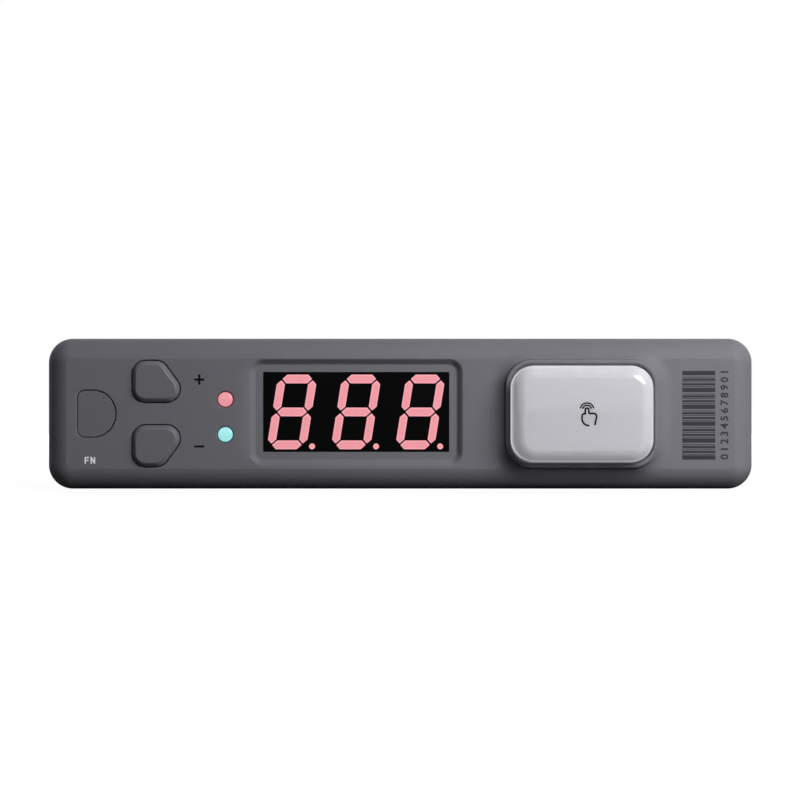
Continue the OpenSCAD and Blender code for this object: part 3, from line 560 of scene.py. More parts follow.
def hook(x, side):
    """A snap hook: an arm with a sloped lip that grips behind the rail, drawn from the side and carried along X."""
    z0, z1 = HOOK_Z - HOOK_T / 2, HOOK_Z + HOOK_T / 2
    y_in, lip, b = HOOK_START - WALL, z1 + HOOK_GRIP, HOOK_BEVEL
    profile = np.array([
        [y_in, z0], [HOOK_LEN - HOOK_TIP, z0], [HOOK_LEN, z0 + HOOK_TIP], [HOOK_LEN, z1 - 0.05],
        [RAIL_GAP + HOOK_LIP, lip], [RAIL_GAP + b, lip], [RAIL_GAP, lip - b],
        [RAIL_GAP, z1 + HOOK_ROOT], [RAIL_GAP - 0.1, z1 + 0.1], [RAIL_GAP - HOOK_ROOT, z1], [y_in, z1],
    ])
    small = profile + b * np.sign(profile.mean(0) - profile) * 0.7
    stations = [
        (x + HOOK_W / 2, small), (x + HOOK_W / 2 - b, profile),
        (x - HOOK_W / 2 + b, profile), (x - HOOK_W / 2, small),
    ]
    points, faces = skin(np.stack([np.insert(p, 0, sx, axis=1) for sx, p in stations]))
    if side < 0:
        points, faces = points * np.array([1, 1, -1]), [face[::-1] for face in faces]
    return points, faces


def make_rear_shell():
    """The rear shell: a tray with a rounded rear edge, screw columns, counterbores, hooks and the contact window."""
    arc = np.linspace(0, QUARTER, 9)
    outer = [(Y_SPLIT, ring_body(SEAM_BEVEL)), (Y_SPLIT + SEAM_BEVEL, ring_body(0))]
    outer += [(REAR_R * (math.sin(a) - 1), ring_body(REAR_R * (1 - math.cos(a)))) for a in arc]
    thing = mesh_object("rear_shell", loft(outer))
    lip = WALL + 2 * FIT
    y_tongue = Y_SPLIT - TONGUE_LEN
    carve(thing, [loft([
        (y_tongue, ring_body(lip + TONGUE_BEVEL)), (y_tongue + TONGUE_BEVEL, ring_body(lip)),
        (Y_SPLIT + TONGUE_ROOT, ring_body(lip)),
    ])], "UNION")
    carve(thing, [prism(ring_body(lip + TONGUE_T), y_tongue - OVERRUN, -WALL)])
    carve(thing, rods(CASE_SCREWS, COLUMN_D, Y_BOSS_END, TONGUE_ROOT - WALL, 40), "UNION")
    sink = [(-2.2, 5.2), (-0.2, 5.2), (0.0, 5.6), (0.3, 6.2)]
    cuts = [loft([(y, ring_circle(d, p, 40)) for y, d in sink]) for p in CASE_SCREWS]
    cuts += rods(CASE_SCREWS, SCREW_HOLE_D, Y_BOSS_END - OVERRUN, OVERRUN, 24)
    w, _, h = size("contact_block") + BLOCK_ROOM
    cuts.append(prism(ring_box(w, h, 0.3, (0, 0), 3), -WALL - OVERRUN, OVERRUN))
    w, h = HOOK_W + 2 * WINDOW_ROOM, HOOK_GRIP + WINDOW_ROOM
    rise = HOOK_Z + (HOOK_T + h) / 2
    places = [(x, side) for x in (-HOOK_X, HOOK_X) for side in (-1, 1)]
    cuts += [prism(ring_box(w, h, 0.1, (x, side * rise), 3), -WALL - OVERRUN, OVERRUN) for x, side in places]
    carve(thing, cuts)
    carve(thing, [hook(x, side) for x, side in places], "UNION")
    smooth(thing)
    place_piece(thing, "housing", "shell_plastic", ["rear_cover"])


# Buttons, collar, lenses and readout

CAP_EDGE_W = 2.9
CAP_EDGE_D = 3.2
CAP_INNER_W = 2.4
CAP_START = 9 * DEG
CAP_R = 4.4
CAP_WALL = 1.6
CAP_CROWN = 0.12
CAP_LIP = 0.1
CAP_W, _, CAP_H = size("confirm_cap")


def make_collar():
    """The collar: its outer edge with a flange, a fully rounded rim and the straight bore for the cap."""
    y_rim, y_end = depths("confirm_collar")
    y_flange = y_end - COLLAR_FLANGE_T
    half = COLLAR_WALL / 2
    turn = np.linspace(0, QUARTER, 8)
    rings = [(y_end, -COLLAR_FLANGE), (y_flange, -COLLAR_FLANGE), (y_flange, 0.0)]
    rings += [(y_rim + half - half * math.sin(a), half - half * math.cos(a)) for a in turn]
    rings += [(y_rim + half - half * math.cos(a), half + half * math.sin(a)) for a in turn[1:]]
    rings.append((y_end, COLLAR_WALL))
    rows = np.stack([np.insert(ring_collar(-inset), 1, y, axis=1) for y, inset in rings])
    index = np.arange(rows.shape[0] * rows.shape[1]).reshape(rows.shape[:2])
    faces = [face for a, b in zip(index, np.roll(index, -1, 0)) for face in band(b, a)]
    solid = rows.reshape(-1, 3), faces
    add_piece("button_collar", solid, 40, "housing", "shell_plastic", ["confirm_collar"])


def ring_cap(inset):
    """The cap's outline drawn in by inset."""
    return ring_box(CAP_W - 2 * inset, CAP_H - 2 * inset, CAP_R - inset, (CONFIRM_X, 0), 16)


def make_cap():
    """The cap: a gently crowned top inside a soft crease, an elliptical rounded edge, straight sides and a hollow.

    The edge follows inset w (1 - sin a) and depth d (1 - cos a), from a few degrees to 90, so a faint line stays
    round the top. The top rises by the crown times one less the square of the share from the middle.
    """
    y_top, y_end = depths("confirm_cap")
    y_edge = y_top + CAP_CROWN - CAP_EDGE_D * (1 - math.cos(CAP_START))
    crease = ring_cap(CAP_EDGE_W * (1 - math.sin(CAP_START)))
    hub = np.array([CONFIRM_X, 0.0])
    levels = [(y_top + CAP_CROWN * s ** 2, hub + (crease - hub) * s) for s in np.linspace(0.04, 1, 14)]
    levels += [(y_edge + d, ring_cap(w)) for d, w in rounding(CAP_EDGE_D, CAP_EDGE_W, CAP_START, 20)[1:]]
    levels += [(y_end - CAP_LIP, ring_cap(0)), (y_end, ring_cap(CAP_LIP)), (y_end, ring_cap(CAP_WALL))]
    inside = rounding(CAP_EDGE_D, CAP_INNER_W, CAP_START, 10)[::-1]
    levels += [(y_top + CAP_WALL + d, ring_cap(CAP_WALL + w)) for d, w in inside]
    add_piece("button_cap", loft(levels), 7.5, "confirm_push", "cap_plastic", ["confirm_cap"])


def make_key(name, body, node, outline, face, stem):
    """A key: a face given as (y, outline) levels, straight sides, a flange behind the wall and a round stem."""
    y_flange = Y_INSIDE + FIT
    y_back = y_flange + FLANGE_T
    head = face + [(y_flange, outline(0.0)), (y_flange, outline(KEY_RIM)), (y_back, outline(KEY_RIM))]
    rod = prism(ring_circle(STEM_D, stem, 32), y_back - STEM_ROOT, depths(node)[1])
    add_piece(name, joined(loft(head), rod), 30, body, "key_plastic", [node])


def make_keys():
    """The plus and minus keys, raised, with a wide soft bevel, and the flush function key with a fine round edge.

    The bevel follows rise cos(a) to the power k in depth and bevel (1 - sin(a) to the power k) in width.
    """
    rise, k = Y_FACE - Y_KEY, BEVEL_POWER
    for sign, flip in (("plus", False), ("minus", True)):
        face = [
            (Y_FACE - rise * abs(math.cos(a)) ** k, ring_key(-KEY_BEVEL * (1 - math.sin(a) ** k), flip))
            for a in np.linspace(0, QUARTER, 14)
        ]
        stem = STEM * [1, -1 if flip else 1]
        key = f"{sign}_key"
        make_key(f"{key}_head", key, f"{sign}_button", lambda g, flip=flip: ring_key(g, flip), face, stem)
    soft, sunk = 0.06, 0.05
    face = [(Y_FACE + sunk + d, ring_fn(-w)) for d, w in rounding(soft, soft)]
    make_key("function_key", "fn_key", "fn_button", ring_fn, face, (FN_X, 0))


def make_lens(name, node):
    """A signal lens: a slightly domed face with a rounded edge, a straight stem and a flange behind the wall."""
    y_front, y_end = depths(node)
    r, soft, dome = LENS_D / 2, 0.4, 0.1
    profile = [(y_front + dome * s ** 2, (r - soft) * s) for s in np.linspace(0, 1, 7)]
    profile += [(y_front + dome + d, r - w) for d, w in rounding(soft, soft, 0.25, 8)]
    y_back = Y_INSIDE + FLANGE_T
    profile += [(Y_INSIDE, r), (Y_INSIDE, r + LENS_FLANGE), (y_back, r + LENS_FLANGE), (y_back, r), (y_end, r)]
    add_piece(name, lathe(profile, LIGHTS[node], 64), 40, "housing", node, [node])


BAR_T = 1.88
BAR_GAP = 0.13
DIGIT_W = 6.2
BAR_STEP = 6.52
LEVEL_T = 1.71
LEVEL_GAP = 0.2
UPRIGHT_T = 1.55
UPRIGHT_GAP = 0.28
BAR_CORNER_R = 0.15
BAR_LIFT = 0.03
BAR_DEPTH = 1.2
BAR_INSETS = 0.26, 0.17, 0.0
POINT_WIDTHS = 0.32, 0.56
POINT_ROOM = 0.06
DIGIT_SLANT = 9 * DEG
LEAN = (BAR_STEP - BAR_GAP - BAR_T / 2) * math.tan(DIGIT_SLANT)
DIGIT_PITCH = (size("display_segments")[0] - DIGIT_W - BAR_T - 2 * LEAN) / 2


def rounded(corners, r):
    """Polygon with each corner rounded by a curve that leaves its sides where an arc of radius r would."""
    out = []
    for k, here in enumerate(corners):
        to_prev, to_next = unit(corners[k - 1] - here), unit(corners[(k + 1) % len(corners)] - here)
        reach = r / math.tan(math.acos(np.clip(to_prev @ to_next, -1, 1)) / 2)
        p, q = here + to_prev * reach, here + to_next * reach
        for s in np.linspace(0, 1, 5):
            out.append((1 - s) ** 2 * p + 2 * s * (1 - s) * here + s ** 2 * q)
    return np.array(out)


def ring_bar(digit, x, z, level, inset=0.0):
    """One bar's outline: a six-sided strip drawn in by inset, leaning with the digit, its corners softened."""
    half = (DIGIT_W / 2 - LEVEL_GAP if level else BAR_STEP / 2 - UPRIGHT_GAP) - inset * math.sqrt(2)
    t = (LEVEL_T if level else UPRIGHT_T) / 2 - inset
    strip = np.array([[-half, 0], [t - half, -t], [half - t, -t], [half, 0], [half - t, t], [t - half, t]])
    shape = strip + [x, z] if level else np.stack([x - strip[:, 1], z + strip[:, 0]], 1)
    leaning = np.stack([shape[:, 0] + shape[:, 1] * math.tan(DIGIT_SLANT), shape[:, 1]], 1)
    return rounded(leaning, BAR_CORNER_R) + READOUT + np.array([digit * DIGIT_PITCH, 0])


def make_pads(name, node, rings):
    """Low lit pads from (middle, inner, outer) outlines; the attribute rim is 0 on each face and 1 round it."""
    ys = Y_READOUT - BAR_LIFT, Y_READOUT - BAR_LIFT, Y_READOUT, Y_READOUT + BAR_DEPTH
    pads = [loft(zip(ys, (face, inner, outer, outer))) for face, inner, outer in rings]
    rims = np.concatenate([np.repeat([0.0, 1.0], [len(outer), 3 * len(outer)]) for _, _, outer in rings])
    thing = mesh_object(name, joined(*pads))
    rim = thing.data.attributes.new("rim", "FLOAT", "POINT")
    rim.data.foreach_set("value", rims.astype(np.float32))
    thing.data.shade_flat()
    place_piece(thing, "housing", "bar_light", [node])


def make_readout():
    """The three digits' 21 bars and their three decimal points."""
    places = [(0, z * BAR_STEP, True) for z in (-1, 0, 1)]
    places += [(x * DIGIT_W / 2, z * BAR_STEP / 2, False) for x in (-1, 1) for z in (-1, 1)]
    rings = [[ring_bar(digit, *place, inset) for inset in BAR_INSETS] for digit in (-1, 0, 1) for place in places]
    make_pads("readout_bars", "display_segments", rings)
    widths = *POINT_WIDTHS, size("display_points")[2] - POINT_ROOM
    rings = [[ring_circle(d, place, 32) for d in widths] for place in clusters("display_points", 0.5)]
    make_pads("readout_points", "display_points", rings)


# Signs on the surface

INK_T = 0.02
SIGN_X = -39.63
PLUS_Z = 6.75
MINUS_Z = -6.43
SIGN_SPAN = 1.98
SIGN_LINE = 0.42
TAP_LINE = 0.33
ARC_LINE = 0.85 * TAP_LINE
TAP_SUNK = 0.005
ROW_X = 64.7
ROW_H = 1.6
ROW_Z = -9.0, 8.4
LETTER_SIZE = 2.05
LETTER_SPREAD = 1.42
LETTER_BOLD = 0.05


def ink(name, outlines, material, y=Y_FACE, body="housing", slot="shell_plastic"):
    """Printed sign: each outline as a film on the surface at depth y."""
    thing = mesh_object(name, joined(*[prism(ring, y - INK_T, y + INK_T) for ring in outlines]))
    thing.data.shade_flat()
    place_piece(thing, body, slot, (), material)


def ring_strip(x0, x1, z0, z1):
    """Upright rectangle."""
    return np.array([[x0, z0], [x1, z0], [x1, z1], [x0, z1]], float)


def stroke(path, width):
    """Outline of a line of the given width along a path, square at the ends."""
    along = unit(np.gradient(path, axis=0))
    side = np.stack([along[:, 1], -along[:, 0]], 1) * width / 2
    return np.concatenate([path + side, (path - side)[::-1]])


def arc(centre, r, start, end, steps=16):
    """Points along a circle's arc, the angles in degrees."""
    a = np.linspace(start, end, steps + 1) * DEG
    return np.stack([np.cos(a), np.sin(a)], 1) * r + np.array(centre)


def make_key_signs(black, white):
    """The plus and minus signs and the letters F and N, drawn with straight strokes."""
    s, t = SIGN_SPAN / 2, SIGN_LINE / 2
    plus = np.array([
        [-t, -s], [t, -s], [t, -t], [s, -t], [s, t], [t, t], [t, s], [-t, s], [-t, t], [-s, t], [-s, -t], [-t, -t],
    ])
    minus = ring_strip(SIGN_X - s, SIGN_X + s, MINUS_Z - t, MINUS_Z + t)
    ink("plus_sign", [plus + [SIGN_X, PLUS_Z]], black)
    ink("minus_sign", [minus], black)
    at = np.array([-62.2, -9.84])
    h, w, n_w, t, between = 1.34, 0.84, 0.93, 0.26, 0.28
    f = np.array([
        [0, 0], [t, 0], [t, 0.5 * h - 0.1], [w - 0.08, 0.5 * h - 0.1], [w - 0.08, 0.5 * h + 0.12],
        [t, 0.5 * h + 0.12], [t, h - 0.22], [w, h - 0.22], [w, h], [0, h],
    ])
    n = np.array([
        [0, 0], [t, 0], [t, 0.62 * h], [n_w - t, 0], [n_w, 0], [n_w, h], [n_w - t, h], [n_w - t, 0.38 * h], [t, h],
        [0, h],
    ])
    ink("function_sign", [f + at, n + [w + between, 0] + at], white)


def make_tap_sign(black):
    """A tapping finger: two arcs over a fingertip, and an open hand below it."""
    at = np.array([CONFIRM_X + 0.56, 0.12])
    tip, finger, base = (0, 0.69), 0.35, -0.08
    right_side = np.concatenate([
        arc(tip, finger, 180, 0), [[finger, 0.4]], arc((finger + 0.2, 0.2), 0.2, 180, 270, 6), [[0.9, 0]],
        arc((1.24, -0.62), 0.62, 90, -12, 12), [[1.68, -1.5], [1.5, -2.3]],
    ])
    left_side = np.concatenate([
        [[-finger, base], [-0.45, base]], arc((-0.55, -0.5), 0.42, 95, 180, 8), [[-0.97, -0.8]],
        arc((0.33, -1.05), 1.3, 180, 275, 16),
    ])
    half = TAP_LINE / 2
    outlines = [
        stroke(right_side + at, TAP_LINE), stroke(left_side + at, TAP_LINE),
        ring_strip(-finger - half, -finger + half, base - half, tip[1] + 0.02) + at,
        *[stroke(arc(tip, r, 13, 167) + at, ARC_LINE) for r in (0.89, 1.34)],
    ]
    ink("tap_sign", outlines, black, depths("confirm_cap")[0] + TAP_SUNK, "confirm_push", "cap_plastic")


def make_bar_pattern(dark):
    """A generic bar pattern: stacked lines, every sixth one thick and the others thin and middling by turns."""
    x0, x1, z0, z1 = 55.6, 62.1, -9.03, 8.46
    place = np.arange(31) % 6
    widths = np.select([place == 0, place % 2 == 1], [0.9, 0.16], 0.46)
    gaps = np.where(place[:-1] == 5, 0.22, 0.14) + 0.04 * (np.arange(30) % 3)
    scale = (z1 - z0) / (widths.sum() + gaps.sum())
    widths, gaps = widths * scale, np.append(gaps, 0) * scale
    starts = z0 + np.concatenate([[0], np.cumsum(widths + gaps)[:-1]])
    bars = [ring_strip(x0, x1, a, a + w) for a, w in zip(starts, widths)]
    ink("bar_pattern", bars, dark)


def make_number_row(dark):
    """A row of plain numbers that reads upwards, made from Blender's own letter shapes."""
    curve = bpy.data.curves.new("number_row", "FONT")
    curve.body = "012345678901"
    curve.size = LETTER_SIZE * MM
    curve.space_character = LETTER_SPREAD
    curve.extrude = INK_T * MM
    curve.resolution_u = 3
    curve.offset = LETTER_BOLD * MM
    thing = new_object("number_row", curve)
    mesh = evaluated_mesh(thing)
    bpy.data.objects.remove(thing)
    flat = all_points(mesh)
    low, high = flat.min(0), flat.max(0)
    along = (flat[:, 0] - low[0]) / (high[0] - low[0]) * (ROW_Z[1] - ROW_Z[0]) + ROW_Z[0]
    up = (flat[:, 1] - low[1]) / (high[1] - low[1])
    out = np.stack([ROW_X - ROW_H * up, Y_FACE - flat[:, 2], along], 1) * MM
    mesh.vertices.foreach_set("co", out.astype(np.float32).ravel())
    mesh.update()
    place_piece(new_object("number_row", mesh), "housing", "shell_plastic", (), dark)


# Metal pieces

SCREW_HEAD_R = 2.3
SCREW_HEAD_T = 1.8
SCREW_DOME = 0.7
THREAD_R = 1.25
THREAD_ROOT_R = 1.0
THREAD_PITCH = 0.9
THREAD_END = 0.6
TIP_R = 0.3
HEAD_ROUND = 1.1
CROSS_R = 0.08
CROSS_L = 2.6
CROSS_W = 0.62
CROSS_D = 1.1


def make_case_screws():
    """Four pan-head screws: a domed head with a tapered cross recess, and a shank with its thread's ridges."""
    y_tip, y_end = depths("case_screws")
    y_head, y_dome = y_end - SCREW_HEAD_T, y_end - SCREW_DOME
    y = y_tip + THREAD_PITCH
    profile = [(y_tip, TIP_R), (y, 1.05)]
    while y < y_head - THREAD_END:
        profile += [(y + 0.1, THREAD_R), (y + 0.3, THREAD_R), (y + 0.45, THREAD_ROOT_R)]
        y += THREAD_PITCH
        profile.append((y, THREAD_ROOT_R))
    profile += [(y_head, THREAD_R), (y_head, SCREW_HEAD_R), (y_dome, SCREW_HEAD_R)]
    profile += [
        (y_dome + SCREW_DOME * math.sin(a), SCREW_HEAD_R - HEAD_ROUND * (1 - math.cos(a)))
        for a in np.linspace(0.15, QUARTER, 8)
    ]
    thing = mesh_object("case_screws_zinc", joined(*[lathe(profile, place, 40) for place in CASE_SCREWS]))
    cuts = []
    for place in CASE_SCREWS:
        for w, h in ((CROSS_L, CROSS_W), (CROSS_W, CROSS_L)):
            small, large = ring_box(w / 2, h / 2, CROSS_R, place, 2), ring_box(w, h, CROSS_R, place, 2)
            cuts.append(loft([(y_end - CROSS_D, small), (y_end + 0.1, large)]))
    carve(thing, cuts)
    smooth(thing, 35)
    place_piece(thing, "housing", "steel", ["case_screws"])


def make_contact(i):
    """A contact's plunger: a round-nosed tip, a straight stem and the shoulder that stays in the barrel."""
    node = f"contact_pin_{i}"
    y0, y_tip = depths(node)
    r, wide, bevel, y1 = 0.5, 0.75, 0.05, y0 + 1.2
    profile = [(y0, wide - bevel), (y0 + bevel, wide), (y1 - bevel, wide), (y1, wide - bevel), (y1, r)]
    profile += [(y_tip - r + r * math.sin(a), r * math.cos(a)) for a in np.linspace(0, QUARTER, 10)]
    solid = lathe(profile, middle(node), 40)
    add_piece(f"contact_tip_{i}", solid, 40, f"rail_contact_{i}", "gold_plate", [node])


def coil(place, y_low, y_high, r, wire, turns):
    """Round wire on a helix of radius r about the depth axis whose last turn at each end lies close."""
    t = np.linspace(0, turns, turns * 32 + 1)
    ease = np.clip((t - 0.75) / (turns - 1.5), 0, 1)
    close = 2.2 * wire / (y_high - y_low - wire)
    y = y_low + wire / 2 + (y_high - y_low - wire) * (close * t / turns + (1 - close) * ease)
    angle = 2 * np.pi * t
    return sweep(np.stack([place[0] + r * np.cos(angle), y, place[1] + r * np.sin(angle)], 1), wire / 2)


def make_springs():
    """The button's two springs and the four behind the contacts, each as long as its node is deep."""
    springs = [("button_springs", "confirm_springs", "confirm_press", clusters("confirm_springs", 1.5), 1.8, 0.4, 5)]
    for i in range(1, 5):
        node = f"contact_spring_{i}"
        springs.append((f"contact_coil_{i}", node, f"contact_{i}_press", [middle(node)], 0.5, 0.2, 6))
    for name, node, joint, places, r, wire, turns in springs:
        y0, y1 = depths(node)
        solid = joined(*[coil(place, y0, y1, r, wire, turns) for place in places])
        thing = add_piece(name, solid, 60, "housing", "steel", [node])
        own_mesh(thing)


# Materials

def linear(code):
    """sRGB hex, such as #5e5d63, as linear red, green, blue and alpha."""
    values = [int(code[i:i + 2], 16) / 255 for i in (1, 3, 5)]
    return tuple(v / 12.92 if v <= 0.04045 else ((v + 0.055) / 1.055) ** 2.4 for v in values) + (1.0,)


def add_node(tree, kind, inputs=None, **settings):
    """A node with its settings; an input given as a socket or a node is linked, and any other is set."""
    node = tree.nodes.new("ShaderNode" + kind)
    for name, value in settings.items():
        setattr(node, name, value)
    for name, value in (inputs or {}).items():
        if isinstance(value, bpy.types.Node):
            value = value.outputs[0]
        if isinstance(value, bpy.types.NodeSocket):
            tree.links.new(value, node.inputs[name])
        else:
            node.inputs[name].default_value = value
    return node


def empty_tree(owner):
    """The node tree of a material or a world, with nothing in it."""
    owner.use_nodes = True
    owner.node_tree.nodes.clear()
    return owner.node_tree


def new_material(name):
    """Material, its empty tree, and the piece's own coordinates for its patterns."""
    material = bpy.data.materials.new(name)
    tree = empty_tree(material)
    return material, tree, add_node(tree, "TexCoord").outputs["Object"]


def close_material(material, inputs):
    """Ends a material: its shader with these inputs, joined to the output."""
    tree = material.node_tree
    add_node(tree, "OutputMaterial", {"Surface": add_node(tree, "BsdfPrincipled", inputs)})
    return material


def per_metre(size):
    """Scale for a pattern whose features are size millimetres across."""
    return 1 / (size * MM)


def mottled(tree, tint, value, low, high, spread):
    """The tint, darker or lighter by up to spread as a pattern's value goes from low to high."""
    shade = add_node(tree, "MapRange", {
        "Value": value, "From Min": low, "From Max": high, "To Min": 1 - spread, "To Max": 1 + spread,
    })
    return add_node(tree, "VectorMath", {0: linear(tint)[:3], "Scale": shade}, operation="SCALE")


def textured(tree, pattern, rough, wander, strength, depth):
    """Inputs that follow a pattern: roughness that strays by wander from rough, and bumps this deep."""
    gloss = add_node(tree, "MapRange", {
        "Value": pattern, "From Min": 0.3, "From Max": 0.7, "To Min": rough - wander, "To Max": rough + wander,
    })
    relief = add_node(tree, "Bump", {"Height": pattern, "Strength": strength, "Distance": depth * MM})
    return {"Roughness": gloss, "Normal": relief}


def moulded_plastic(name, tint, grain, rough, sheen=0.5):
    """Injection-moulded plastic with a spark-eroded texture: matt, with a fine even grain and hardly any mottle."""
    material, tree, place = new_material(name)
    pits = add_node(tree, "TexNoise", {"Vector": place, "Scale": per_metre(grain), "Detail": 2.0})
    cloud = add_node(tree, "TexNoise", {"Vector": place, "Scale": per_metre(14), "Detail": 2.0})
    both = add_node(tree, "Math", {0: pits, 1: cloud}, operation="ADD")
    return close_material(material, {
        "Base Color": mottled(tree, tint, both, 0.6, 1.4, 0.035), "IOR": 1.5, "Specular IOR Level": sheen,
        **textured(tree, pits, rough, 0.04, 0.35, 0.02),
    })


def polished_acrylic():
    """The cap's milky acrylic, moulded in a polished tool: a clear gloss over a soft pale body, with painted light
    on it.

    An even painted glow lifts its shaded sides, and a painted rim highlight makes its thin edge glow a little more
    than its top.
    """
    material, tree, place = new_material("polished milky acrylic")
    haze = add_node(tree, "TexNoise", {"Vector": place, "Scale": per_metre(9), "Detail": 3.0})
    shades = {"Factor": haze, "A": linear("#a6a5aa"), "B": linear("#acabb0")}
    tone = add_node(tree, "Mix", shades, data_type="RGBA")
    waves = add_node(tree, "TexNoise", {"Vector": place, "Scale": per_metre(3.5), "Detail": 1.0})
    relief = add_node(tree, "Bump", {"Height": waves, "Strength": 0.12, "Distance": 0.01 * MM})
    # Painted light: an even glow of 0.185 lifts the cap's shaded sides, and a painted rim highlight raises it to
    # 0.62 towards its grazing edges.
    painted_rim_facing = add_node(tree, "LayerWeight", {"Blend": 0.5}).outputs["Facing"]
    edge = add_node(tree, "Math", {0: painted_rim_facing, 1: 3.0}, operation="POWER")
    glow = add_node(tree, "MapRange", {"Value": edge, "To Min": 0.185, "To Max": 0.62})
    # The emission paints that light: the even glow and the rim highlight.
    return close_material(material, {
        "Base Color": tone.outputs["Result"], "Normal": relief, "Roughness": 0.02, "IOR": 1.49,
        "Subsurface Weight": 1.0, "Subsurface Radius": (3.4 * MM, 3.4 * MM, 3.6 * MM), "Subsurface Scale": 1.0,
        "Emission Color": linear("#f4f3f8"), "Emission Strength": glow,
    })


def lit_diffuser(name, body, edge, dim, rim=None, rough=0.3):
    """Coloured diffuser with its lamp on: an even glow, stronger at its edge; on a lens, painted shade fades the
    glow out behind its face, so its flange stays dark.
    """
    material, tree, place = new_material(name)
    mist = add_node(tree, "TexNoise", {"Vector": place, "Scale": per_metre(0.6), "Detail": 2.0})
    if rim is None:
        weight = add_node(tree, "LayerWeight", {"Blend": 0.35}).outputs["Facing"]
    else:
        weight = add_node(tree, "Attribute", attribute_name=rim).outputs["Fac"]
    tone = add_node(tree, "Mix", {"Factor": weight, "A": linear(body), "B": linear(edge)}, data_type="RGBA")
    even = {"Value": mist, "From Min": 0.3, "From Max": 0.7, "To Min": 0.97, "To Max": 1.03}
    level = add_node(tree, "MapRange", even)
    # Painted shade: on a lens the glow fades out behind its face, where the flange sits in the shade of the wall.
    depth = add_node(tree, "SeparateXYZ", {0: place}).outputs["Y"]
    lit, dark = (Y_FACE + 0.3) * MM, (Y_FACE + 1.2) * MM
    painted_flange_shade = {"Value": depth, "From Min": lit, "From Max": dark, "To Min": 1.0, "To Max": 0.02}
    front = add_node(tree, "MapRange", painted_flange_shade)
    share = add_node(tree, "Math", {0: level, 1: front if rim is None else 1.0}, operation="MULTIPLY")
    glow = add_node(tree, "VectorMath", {0: tone.outputs["Result"], "Scale": share}, operation="SCALE")
    return close_material(material, {
        "Emission Color": glow, "Emission Strength": 0.8, "Base Color": linear(dim), "Roughness": rough, "IOR": 1.49,
    })


def smoked_resin():
    """The readout's face: black screened resin, smooth, with almost no shine."""
    material, tree, place = new_material("black screened resin")
    cloud = add_node(tree, "TexNoise", {"Vector": place, "Scale": per_metre(10), "Detail": 1.0})
    shades = {"Factor": cloud, "A": linear("#020202"), "B": linear("#070707")}
    tone = add_node(tree, "Mix", shades, data_type="RGBA")
    inputs = {"Base Color": tone.outputs["Result"], "Roughness": 0.45, "Specular IOR Level": 0.03}
    return close_material(material, inputs)


def pad_ink(name, tint):
    """Printed ink: flat, dense and matt, with a faint unevenness from the pad."""
    material, tree, place = new_material(name)
    speck = add_node(tree, "TexNoise", {"Vector": place, "Scale": per_metre(0.25), "Detail": 2.0})
    colour = mottled(tree, tint, speck, 0.3, 0.7, 0.1)
    return close_material(material, {"Base Color": colour, "Roughness": 0.6, "Specular IOR Level": 0.05})


def plated_metal(name, tint, rough, streak):
    """Metal with fine tool marks across it: bright, its roughness wandering with the marks."""
    material, tree, place = new_material(name)
    turned = add_node(tree, "Mapping", {"Vector": place, "Scale": (1.0, 0.08, 1.0)})
    marks = add_node(tree, "TexNoise", {"Vector": turned, "Scale": per_metre(streak), "Detail": 3.0})
    look = textured(tree, marks, rough, 0.07, 0.25, 0.01)
    return close_material(material, {"Base Color": linear(tint), "Metallic": 1.0, **look})


def solder_mask():
    """Circuit board: glossy green mask over a woven laminate, whose threads lie about half a millimetre apart."""
    material, tree, place = new_material("solder mask on laminate")
    threads = {"Vector": place, "Scale": per_metre(0.5) / 20, "Distortion": 0.6}
    warp, weft = [add_node(tree, "TexWave", threads, bands_direction=axis).outputs["Fac"] for axis in "XZ"]
    weave = add_node(tree, "Math", {0: warp, 1: weft}, operation="MULTIPLY")
    shades = {"Factor": weave, "A": linear("#0d3f27"), "B": linear("#175536")}
    tone = add_node(tree, "Mix", shades, data_type="RGBA")
    return close_material(material, {"Base Color": tone.outputs["Result"], "Roughness": 0.28})


# Camera, light and surroundings

CAMERA_AT = (-0.05, -458.1, 2.722)
FLOOR_GAP = 0.05
FLOOR_R = 4000


def make_camera():
    """A long lens straight in front of the body, a little above its middle."""
    lens = bpy.data.cameras.new("camera")
    lens.lens = 100
    lens.sensor_width = 36
    lens.clip_start, lens.clip_end = 0.01, 20
    camera = new_object("camera", lens)
    camera.location = [v * MM for v in CAMERA_AT]
    camera.rotation_euler = (QUARTER, 0, 0)
    bpy.context.scene.camera = camera


def area_light(name, at, aim, size, power):
    """Square softbox at a place in metres, turned towards its aim."""
    lamp = bpy.data.lights.new(name, "AREA")
    lamp.shape = "RECTANGLE"
    lamp.size = lamp.size_y = size
    lamp.energy = power
    thing = new_object(name, lamp)
    thing.location = at
    thing.rotation_euler = (Vector(aim) - Vector(at)).to_track_quat("-Z", "Y").to_euler()
    thing.visible_camera = False
    return thing


def make_lights():
    """A window of four panes off the upper right end, a softbox beyond it, two behind and one below."""
    centre = Vector((0.135, -0.165, 0.100))
    aim = Vector((0.03, -0.02, 0.0))
    turn = (aim - centre).to_track_quat("-Z", "Y")
    pane, step = 0.052, 0.036
    for i, (u, v) in enumerate([(-step, -step), (step, -step), (step, step), (-step, step)]):
        shift = turn @ Vector((u, v, 0))
        area_light(f"window_pane_{i + 1}", centre + shift, aim + shift, pane, 0.110)
    box, origin = 0.3, (0.0, 0.0, 0.0)
    area_light("fill", (0.40, -0.62, 0.42), origin, box, 2.4)
    for name, at, power in (
        ("rear_right", (0.28, 0.60, 0.18), 4.0),
        ("rear_left", (-0.28, 0.60, 0.18), 4.0),
        ("below", (0.0, 0.15, -0.60), 0.6),
    ):
        area_light(name, at, origin, box, power).visible_glossy = False


